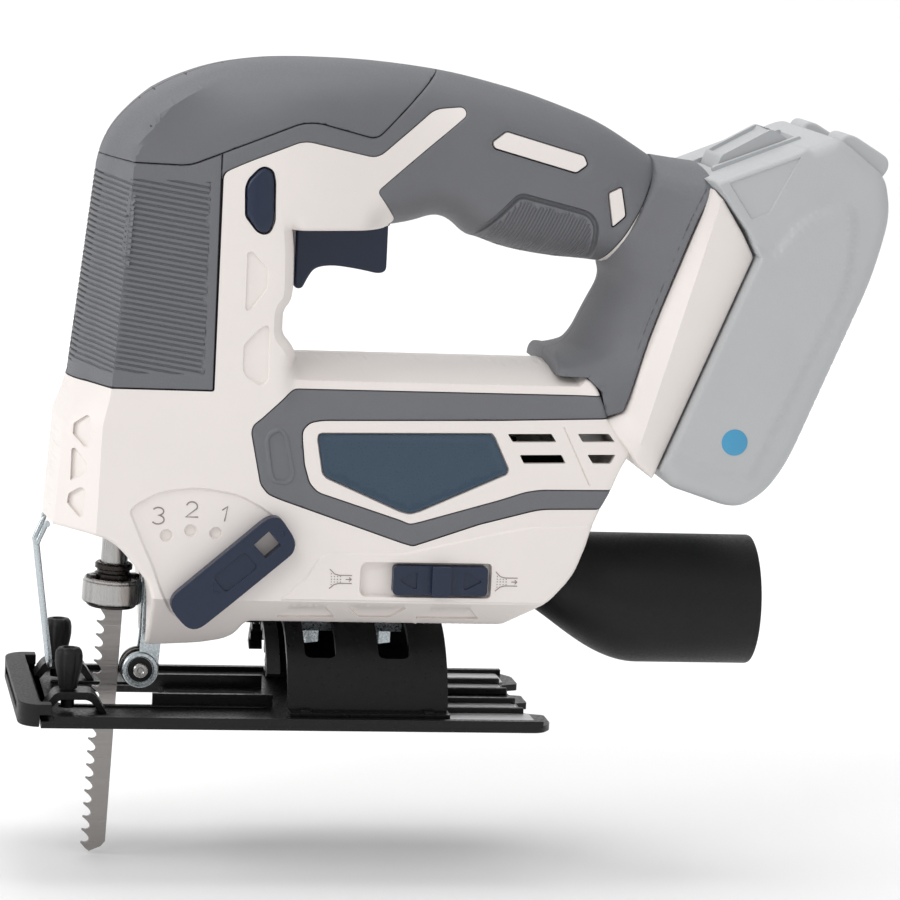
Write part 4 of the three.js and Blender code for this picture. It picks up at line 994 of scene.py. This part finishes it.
prism("pendulum_lever", [[-6.3, -5.2, 5], [6.3, -5.2, 5], [6.5, 8, 0], [6.5, 33.2, 2], [3.6, 35.8, 2.5],
                         [-4.4, 36.6, 2.5], [-6.5, 33.6, 2.5]], 0, 4.4, NAVY, "lever", bevel=0.7, segments=4,
      stands_for=("pendulum_lever",), place=lever_place,
      cuts=[([[-2.9, 25.4], [2.5, 25.6], [2.3, 31.4], [-3.2, 31.3]], -2, 8),
            ([[-3.1, 10.2, 1.6], [2.9, 10.2, 1.6], [3.1, 22.2, 1.4], [-3.1, 22.2, 1.4]], 3.7, 6)],
      extra=[(circle(0, 34.0, 0.55, 12), 4.0, 4.75), (circle(0, 0, 4, 24), -24, 0.5)])
wire("pendulum_arrow", [[(x, -35.35, z)
                         for x, _, z in lever_place(np.array([-1.8, 0, 1.8]), np.zeros(3),
                                                    np.array([9.0, 7.6, 9.0]))]], 0.25, NAVY, "lever")

prism("blower_slider", box_outline(29.9, 58.1, 40.0, 48.7), -32.6, -29.3, NAVY, "blower", bevel=0.45,
      stands_for=("blower_slider",), radius=1.4,
      cuts=[([[31.4, 44.4, 1], [36, 46.9, 1], [37, 46.9, 0.4], [37, 41.9, 0.4], [36, 41.9, 1]], -34, -32.1),
            ([[56.6, 44.4, 1], [52, 46.9, 1], [51, 46.9, 0.4], [51, 41.9, 0.4], [52, 41.9, 1]], -34, -32.1)],
      extra=[([[41.2, 39.95, 0.8], [46.9, 39.95, 0.8], [46.9, 48.75, 0.8], [41.2, 48.75, 0.8]], -34.4, -32)])
prism("blower_stem", box_outline(38.5, 49.5, 42.6, 45.9), -29.6, -25.6, NAVY, "blower", bevel=0.4)


def strokes(name, lines, y, mat, body, radius=0.16):
    wire(name, [[(x, y, z) for x, z in line] for line in lines], radius, mat, body, sides=3)


ARC_STEPS = 12


def arc_points(x, z, rx, rz, start, end):
    return [(x + rx * math.cos(math.radians(a)), z + rz * math.sin(math.radians(a)))
            for a in np.linspace(start, end, ARC_STEPS)]


three = arc_points(-39.9, 63.2, 1.6, 1.15, 150, -90) + arc_points(-39.9, 60.75, 1.8, 1.3, 90, -150)
two = arc_points(-30.1, 64.8, 1.6, 1.4, 165, -25) + [(-31.8, 61.7), (-28.2, 61.7)]
one = [(-21.2, 63.9), (-19.6, 65), (-20.4, 60.6)]
strokes("dial_numbers", [three, two, one], -29.98, MARK, "housing", 0.22)
icons = []
for x0 in (10.9, 60.4):
    icons += [[(x0 + 0.2, 47.2), (x0 + 1.6, 45.8), (x0 + 3, 45.4), (x0 + 6.8, 45.4)],
              [(x0 + 0.2, 41.4), (x0 + 1.6, 42.6), (x0 + 3, 43), (x0 + 6.8, 43)],
              [(x0 + 5, 44.2), (x0 + 6.6, 44.2)], [(x0 + 6.0, 44.8), (x0 + 6.7, 44.2), (x0 + 6.0, 43.6)]]
    icons += [[(x0 + 0.6 + 0.9 * i, 44.2 + s * 0.8 * j), (x0 + 0.85 + 0.9 * i, 44.2 + s * 0.8 * j)]
              for i in range(4) for j in range(3 - (i > 1)) for s in (1, -1)]
strokes("blower_icons", icons, -31.5, MARK, "housing", 0.13)

# -------------------------------------------------------------- sole and bevel
SOLE = [[-72.5, -38], [75.6, -38, 2.4], [79, -33, 2], [79, -22, 1], [73.4, -20, 1], [73.4, -6, 0.6],
        [77, -5, 0.6], [77, 5, 0.6], [73.4, 6, 0.6], [73.4, 20, 1], [79, 22, 1], [79, 33, 2], [75.6, 38, 2.4],
        [-72.5, 38]]
SLOT = [[-66, -13, 3], [-32, -13, 2], [-32, -7, 0.5], [-5, -7, 3], [-5, 7, 3], [-32, 7, 0.5], [-32, 13, 2],
        [-66, 13, 3]]
mirrored = lambda low, high: [(low, high), (-high, -low)]
rails = [(box_outline(-68.8, 76, a, b), 1.5, 3.5) for a, b in mirrored(35.8, 38)]
rails += [(box_outline(-38, -2, a, b), 1.5, 5.6) for a, b in mirrored(13, 14.6)]
prism("sole_plate", SOLE, 0, 2, BLACK_STEEL, "sole", axis="Z", bevel=0.35, stands_for=("sole_plate",),
      cuts=[(SLOT, -1, 4)], extra=rails)
# light grey strips along the top of the sole's rear end
for i, (a, b) in enumerate(mirrored(22.3, 35.4) + mirrored(8.3, 19.7)):
    end = 72.5 if a in (8.3, -19.7) else 74.5
    prism(f"sole_strip_{i}", [[48.6, a], [end, a, 1.5], [end, b, 1.5], [48.6, b]], 1.9, 2.45, STRIP, "sole",
          axis="Z", bevel=0.2)
for i, (a, b) in enumerate(mirrored(6, 8.1) + mirrored(19.9, 22.1)):
    prism(f"sole_rib_{i}", [[48.5, a, 0.5], [73, a, 0.9], [73, b, 0.9], [48.5, b, 0.5]], 1.9, 4.0,
          BLACK_STEEL, "sole", axis="Z", bevel=0.6)
for i, (a, b) in enumerate(mirrored(15.6, 17.6)):
    prism(f"sole_bead_{i}", [[-66, a, 0.9], [-4, a, 0.9], [-4, b, 0.9], [-66, b, 0.9]], 1.9, 2.6, BLACK_STEEL,
          "sole", axis="Z", bevel=0.3)

BUMPER = [[-79, -34, 4], [-75, -38, 3], [-69.4, -38, 0], [-69.4, -33.5], [-72.8, -33.5], [-72.8, 33.5],
          [-69.4, 33.5], [-69.4, 38, 0], [-75, 38, 3], [-79, 34, 4]]
bumper_cut = plain("bumper_cut", *solid_mesh(rounded([[-73.0, -50], [-60, -50], [-60, 50], [-73.0, 50]], 90),
                                             -1, 3.8, along("Z")))
prism("front_bumper", BUMPER, 0.3, 7, BLACK, "sole", axis="Z", bevel=1.3, segments=4,
      stands_for=("front_bumper",), cuts=[bumper_cut, (box_outline(-82, -77.6, -26, 26), 2.6, 4.8)])


KNOB_X, FLUTES, FLUTE_DEPTH = -63.8, 6, 0.11


def knob(name, y, which):
    """A fluted clamping knob that flares from its neck to a domed head."""
    profile = [(0, 3), (2, 3), (2, 8.7), (2.7, 8.75), (2.9, 9.6), (3.2, 11.6), (3.8, 14.2), (4.15, 16.4),
               (4.15, 18.6), (3.9, 19.9), (3.2, 20.7), (1.9, 20.9), (1.7, 20.3), (0, 20.3)]
    steps, verts, faces = 72, [], []
    for r, z in profile:
        share = FLUTE_DEPTH * min(max((z - 9) / 4, 0), 1) * (z < 20.5)
        for i in range(steps):
            a = math.tau * i / steps
            reach = r * (1 - share * max(0, math.cos(FLUTES * a)) ** 2)
            verts.append((KNOB_X + reach * math.cos(a), y + reach * math.sin(a), z))
    for k in range(len(profile) - 1):
        for i in range(steps):
            j = (i + 1) % steps
            faces.append((k * steps + i, k * steps + j, (k + 1) * steps + j, (k + 1) * steps + i))
    weld(add(name, verts, faces, BLACK, f"knob_{which}", (name,), sharp=50))


for side in (LEFT, RIGHT):
    y, which = side * 22, SIDE[side]
    prism(f"guide_bridge_{which}", [[-71.8, 2.1, 0.3], [-69.8, 2.1, 0.3], [-66.6, 6.0, 1.6],
                                    [-57.6, 6.0, 1.6], [-54.4, 2.1, 0.3], [-52.4, 2.1, 0.3], [-56.4, 8.3, 2],
                                    [-67.8, 8.3, 2]], y - 4.5, y + 4.5, BLACK_STEEL, "sole", bevel=0.5,
          stands_for=(f"guide_bridge_{which}",))
    knob(f"guide_knob_{which}", y, which)


def hoop(name, outline, holes, radius, thick, mat, stands_for):
    """A bent plate: an outline in X and arc length, wrapped round the bevel axis."""
    loops = [rounded(outline, 1.2, radius=0.8), *(rounded(q, 0.8, radius=2.2) for q in holes)]
    fixed, edges = [], []
    for loop in loops:
        start, n = len(fixed), len(loop)
        fixed += [tuple(p) for p in loop]
        edges += [(start + i, start + (i + 1) % n) for i in range(n)]
    low, high = loops[0].min(0), loops[0].max(0)
    free = np.array([(x, s) for s in np.arange(low[1] + 0.8, high[1] - 0.5, 1.2)
                     for x in np.arange(low[0] + 1, high[0] - 0.6, 3)])
    keep = inside(free, loops[0])
    for loop in loops[1:]:
        keep &= ~inside(free, loop)
    near = np.min([distance(free, loop, True) for loop in loops], 0)
    points, faces = triangulate(fixed + [tuple(p) for p in free[keep & (near > 0.45)]], edges)
    middle = points[faces].mean(1)
    keep = inside(middle, loops[0])
    for loop in loops[1:]:
        keep &= ~inside(middle, loop)
    faces = faces[keep]
    a, b, c = points[faces[:, 0]], points[faces[:, 1]], points[faces[:, 2]]
    flip = (b - a)[:, 0] * (c - a)[:, 1] - (b - a)[:, 1] * (c - a)[:, 0] < 0
    faces[flip] = faces[flip][:, ::-1]
    angle = points[:, 1] / radius
    verts = np.stack((points[:, 0], radius * np.sin(angle), 1 + radius * np.cos(angle)), 1)
    add(name, verts, faces, mat, "sole", stands_for, sharp=30, solid=thick, bevel=0.35, segments=2)


RAD = math.radians
windows = [box_outline(x - 4.7, x + 4.7, -28 * RAD(51), 28 * RAD(51)) for x in (10.9, 33.0)]
hoop("bevel_bracket", box_outline(0.8, 48.8, -28 * RAD(83.5), 28 * RAD(83.5)), windows, 28, 2, BLACK_STEEL,
     ("bevel_bracket",))
for side in (LEFT, RIGHT):
    y = sorted((side * 26.2, side * 33.4))
    prism(f"bracket_flange_{SIDE[side]}", [[0.8, y[0], 0.8], [48.8, y[0], 0.8], [48.8, y[1], 0.8],
                                           [0.8, y[1], 0.8]], 2.1, 4.2, BLACK_STEEL, "sole", axis="Z",
          bevel=0.5, extra=[(circle(x, side * 30.3, 1.9, 20), 4.0, 4.8) for x in (6, 43)])

ring_points = []
for deg in np.arange(-62, 62.01, 1.55):
    ring_points.append((28 * math.sin(RAD(deg)), 1 + 28 * math.cos(RAD(deg))))
for deg in np.arange(62, -62.01, -1.55):
    near_notch = abs((deg / 11.25) - round(deg / 11.25)) * 11.25
    r = 23.8 + 2.2 * (1 if near_notch < 2.2 else max(0, 1 - (near_notch - 2.2) / 0.8))
    ring_points.append((r * math.sin(RAD(deg)), 1 + r * math.cos(RAD(deg))))
prism("bevel_sector", ring_points, -5.4, -1.35, BLACK_STEEL, "sole", axis="X", bevel=0.3, segments=2,
      stands_for=("bevel_sector",), step=5,
      extra=[([[-3.2, 25.2, 0.6], [3.2, 25.2, 0.6], [3.2, 27.6, 0.6], [-3.2, 27.6, 0.6]], -9.4, -5.2)])

# ------------------------------------------------- plunger, clamp, blade, roller
RAKED = Matrix.Translation((-50, 0, 30)) @ Matrix.Rotation(math.radians(2.2), 4, "Y")
lathe("plunger_rod", [(0, 8.5), (3.6, 8.5), (4, 8.9), (4, 121.6), (3.6, 122), (0, 122)], STEEL, "plunger",
      RAKED, ("plunger_rod",), steps=64)
lathe("blade_clamp_body", [(0, -0.8), (6.9, -0.8), (7.4, -0.4), (7.4, 0), (5.6, 0.3), (5.6, 9.2), (4.9, 9.6),
                           (4.9, 10.4), (5.6, 10.8), (5.6, 12), (5.1, 12.5), (4.3, 12.5), (4.3, 7.6),
                           (0, 7.6)], DARK, "plunger", RAKED, ("blade_clamp_body",), steps=64)
lathe("clamp_ring", [(5.9, 0.9), (8.5, 0.5), (8.9, 0.9), (8.9, 6.7), (8.5, 7.1), (8.5, 7.6), (8.1, 8),
                     (7.3, 8), (6.6, 6.9), (5.9, 6.9)], STEEL, "clamp_ring", RAKED, ("clamp_ring",), steps=72)
for k in range(2):
    turn = RAKED @ Matrix.Rotation(math.pi * k + 0.4, 4, "Z")
    at = lambda a, b, c, m=turn: np.array([m @ Vector(v) for v in zip(a, b, c)])
    prism(f"clamp_ring_ear_{k}", box_outline(5.95, 8.3, -1.6, 1.6), 7.4, 8.9, DARK, "clamp_ring", axis="Z",
          bevel=0.4, place=at, step=2)

front = []
for i in range(18):
    tip = -73.6 + 4 * i
    front += [(-3.95, tip - 0.1), (-3.7, tip + 0.25), (-2.7, tip + 0.05), (-1.95, tip + 0.3),
              (-1.45, tip + 0.95), (-1.6, tip + 1.7), (-2.3, tip + 2.6), (-3.2, tip + 3.35)]
blade_outline = [(3.5, 7.2), (3.5, -73), (2.2, -74.6), (-1.2, -76.2), (-2.4, -75.4), *front[:-2],
                 (-3.5, -1.2), (-3.6, 7.2)]
rake_at = lambda a, b, c: np.array([RAKED @ Vector(v) for v in zip(a, b, c)])
prism("blade", blade_outline, -0.6, 0.6, BLADE, "plunger", bevel=0.12, segments=2, stands_for=("blade",),
      place=rake_at, step=40)

ROLLER = (-41, 0, 10.7)
roll = Matrix.Translation(ROLLER) @ Matrix.Rotation(math.pi / 2, 4, "X")
lathe("guide_roller", [(2.3, -2.4), (4.4, -2.4), (4.6, -1.9), (5.5, -2.3), (5.9, -1.9), (5.9, -1.3),
                       (5.3, -0.9), (5.3, 0.9), (5.9, 1.3), (5.9, 1.9), (5.5, 2.3), (4.6, 1.9), (4.4, 2.4),
                       (2.3, 2.4)], DARK, "roller", roll, ("guide_roller",), steps=64)
lathe("roller_pin", [(0, -5.3), (1.9, -5.3), (2.6, -4.8), (2, -4.75), (2, 5.3), (2.2, 5.5), (2.2, 6.1),
                     (1.9, 6.4), (1.1, 6.4), (0.8, 6.1), (0, 6.1)], STEEL, "fork", roll, ("roller_pin",),
      steps=48)
for side in (LEFT, RIGHT):
    y = sorted((side * 3, side * 4.5))
    outline = [[-41.6, 14.5, 0], [-40.9, 20, 3], [-40.4, 52, 2], [-34.5, 52, 2], [-34.9, 22, 4],
               [-35.6, 12.5, 0]]
    eye = plain("eye", *solid_mesh(circle(-41, 10.7, 5.4, 56), *y, along("Y")))
    prism(f"fork_arm_{SIDE[side]}", outline, *y, ZINC, "fork", bevel=0.35, stands_for=("roller_fork",)
          if side == LEFT else (), extra=[eye], cuts=[(circle(-41, 10.7, 2.4, 32), -6, 6)])
    lathe(f"fork_eye_rim_{SIDE[side]}", [(3.9, -4.4), (5.4, -4.4), (5.4, -5.0), (5.1, -5.3), (4.2, -5.3),
                                         (3.9, -5.0)], ZINC, "fork", Matrix.Translation(ROLLER)
          @ Matrix.Rotation(math.pi / 2 * (1 if side == RIGHT else -1), 4, "X"), steps=56)
    lathe(f"fork_washer_{SIDE[side]}", [(2.1, -4.5), (3.7, -4.5), (3.7, -4.9), (3.3, -5.1), (2.1, -5.1)],
          BLACK, "fork", Matrix.Translation(ROLLER)
          @ Matrix.Rotation(math.pi / 2 * (1 if side == RIGHT else -1), 4, "X"), steps=48)
prism("fork_back", box_outline(-36.6, -35.1, 24, 46), -3.3, 3.3, ZINC, "fork", bevel=0.4)
lathe("fork_pivot", [(0, -11), (1.6, -11), (2, -10.6), (2, 10.6), (1.6, 11), (0, 11)], ZINC, "fork",
      Matrix.Translation((-38, 0, 50)) @ Matrix.Rotation(math.pi / 2, 4, "X"), steps=32)

half = [(-70.3, 9, 55), (-70.3, 6.6, 55), (-70.5, 5.5, 54.6), (-71.3, 5.1, 52.6), (-72.9, 5, 48.7),
        (-72.7, 5, 46.5), (-70.6, 5, 31), (-68.4, 4.9, 15), (-68.05, 4.2, 12.2), (-67.9, 2.2, 11.4),
        (-67.9, 0, 11.3)]
path = half + [(x, -y, z) for x, y, z in half[:-1]][::-1]
wire("wire_guard", [catmull(path, 6)], 0.78, ZINC, "wire_guard", ("wire_guard",), sides=6)

# --------------------------------------- CAD nodes that keep their own meshes
KEPT = {"terminal_block": (BLACK, 0.3), "switch_module": (BLACK, 0.8), "trigger_spring": (STEEL, 0),
        "motor_can": (ZINC, 0.6), "gear_axle": (STEEL, 0.2), "bearing_plate": (ZINC, 0.4),
        "motor_bearing": (STEEL, 0.4), "lower_bush": (BRONZE, 0.3), "upper_bush": (BRONZE, 0.3),
        "led_lens": (LENS, 0.3), "circuit_board": (BOARD, 0.1), "clamp_plate": (ZINC, 0.3),
        "sole_screw_front": (ZINC, 0.3), "sole_screw_rear": (ZINC, 0.3), "housing_screw_rear": (STEEL, 0.3),
        "housing_screw_handle": (STEEL, 0.3), "plunger_yoke": (STEEL, 0.4), "motor_armature": (STEEL, 0.12),
        "cooling_fan": (BLACK, 0.25), "drive_gear": (STEEL, 0.12), "pendulum_cam": (STEEL, 0.2),
        "blower_gate": (BLACK, 0.4), "battery_rail": (BLACK, 0.3), "battery_cells": (CELLS, 0.4), }
for name, (mat, width) in KEPT.items():
    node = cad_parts[name]
    node.data.materials.clear()
    node.data.materials.append(mat)
    if width:
        round_edges(node, width, 2)

# ------------------------------------------------------------- light and camera
scene = bpy.context.scene
sweep = [(-3.0, -0.047), *((2.0 + 0.8 * math.sin(t), -0.047 + 0.8 * (1 - math.cos(t)))
                           for t in np.linspace(0, math.pi / 2, 17)), (2.8, 3.4)]
floor_mesh = bpy.data.meshes.new("floor")
floor_mesh.from_pydata([(x, y, z) for x in (-4, 4) for y, z in sweep], [],
                       [(i, i + len(sweep), i + 1 + len(sweep), i + 1) for i in range(len(sweep) - 1)])
floor_mesh.polygons.foreach_set("use_smooth", [True] * len(floor_mesh.polygons))
floor_mesh.materials.append(finish("floor", (252, 252, 252), 0.8, bump=0.02, grain=30, vary=0.003))
floor = bpy.data.objects.new("floor", floor_mesh)
scene.collection.objects.link(floor)


def lamp(name, place, target, size, power):
    light = bpy.data.lights.new(name, "AREA")
    light.shape, light.size, light.energy = "SQUARE", size, power
    made = bpy.data.objects.new(name, light)
    scene.collection.objects.link(made)
    made.location = place
    made.rotation_euler = (Vector(target) - Vector(place)).to_track_quat("-Z", "Y").to_euler()


CENTRE = (0.05, 0, 0.078)
lamp("key", (-0.75, -1.0, 1.25), CENTRE, 0.8, 7.5)
lamp("front", (-1.5, -0.15, 0.7), CENTRE, 0.7, 7)
lamp("fill", (1.1, -1.2, 0.6), CENTRE, 1.1, 2.2)
lamp("top", (0.15, 0.2, 1.4), CENTRE, 0.9, 6)
lamp("wash", (0, 1.0, 1.9), (0, 2.8, 0.9), 2.5, 26)
world = bpy.data.worlds.new("studio")
world.use_nodes = True
world.node_tree.nodes["Background"].inputs["Color"].default_value = (1, 1, 1, 1)
world.node_tree.nodes["Background"].inputs["Strength"].default_value = 0.55
scene.world = world

AZ, EL, ROLL = math.radians(-9.78), math.radians(8.70), math.radians(2.72)
TARGET, REACH = Vector((50.55, 0, 78.45)) * MM, 1265.33 * MM
back = Vector((math.sin(AZ) * math.cos(EL), -math.cos(AZ) * math.cos(EL), math.sin(EL)))
right = Vector((math.cos(AZ), math.sin(AZ), 0))
up = back.cross(right)
right, up = right * math.cos(ROLL) + up * math.sin(ROLL), up * math.cos(ROLL) - right * math.sin(ROLL)
camera_data = bpy.data.cameras.new("camera")
camera_data.lens, camera_data.sensor_width = 168, 36
camera_data.clip_start = 0.05
camera = bpy.data.objects.new("camera", camera_data)
scene.collection.objects.link(camera)
pose = Matrix((right, up, back)).transposed().to_4x4()
pose.translation = TARGET + back * REACH
camera.matrix_world = pose
scene.camera = camera
scene.view_settings.view_transform = "Standard"
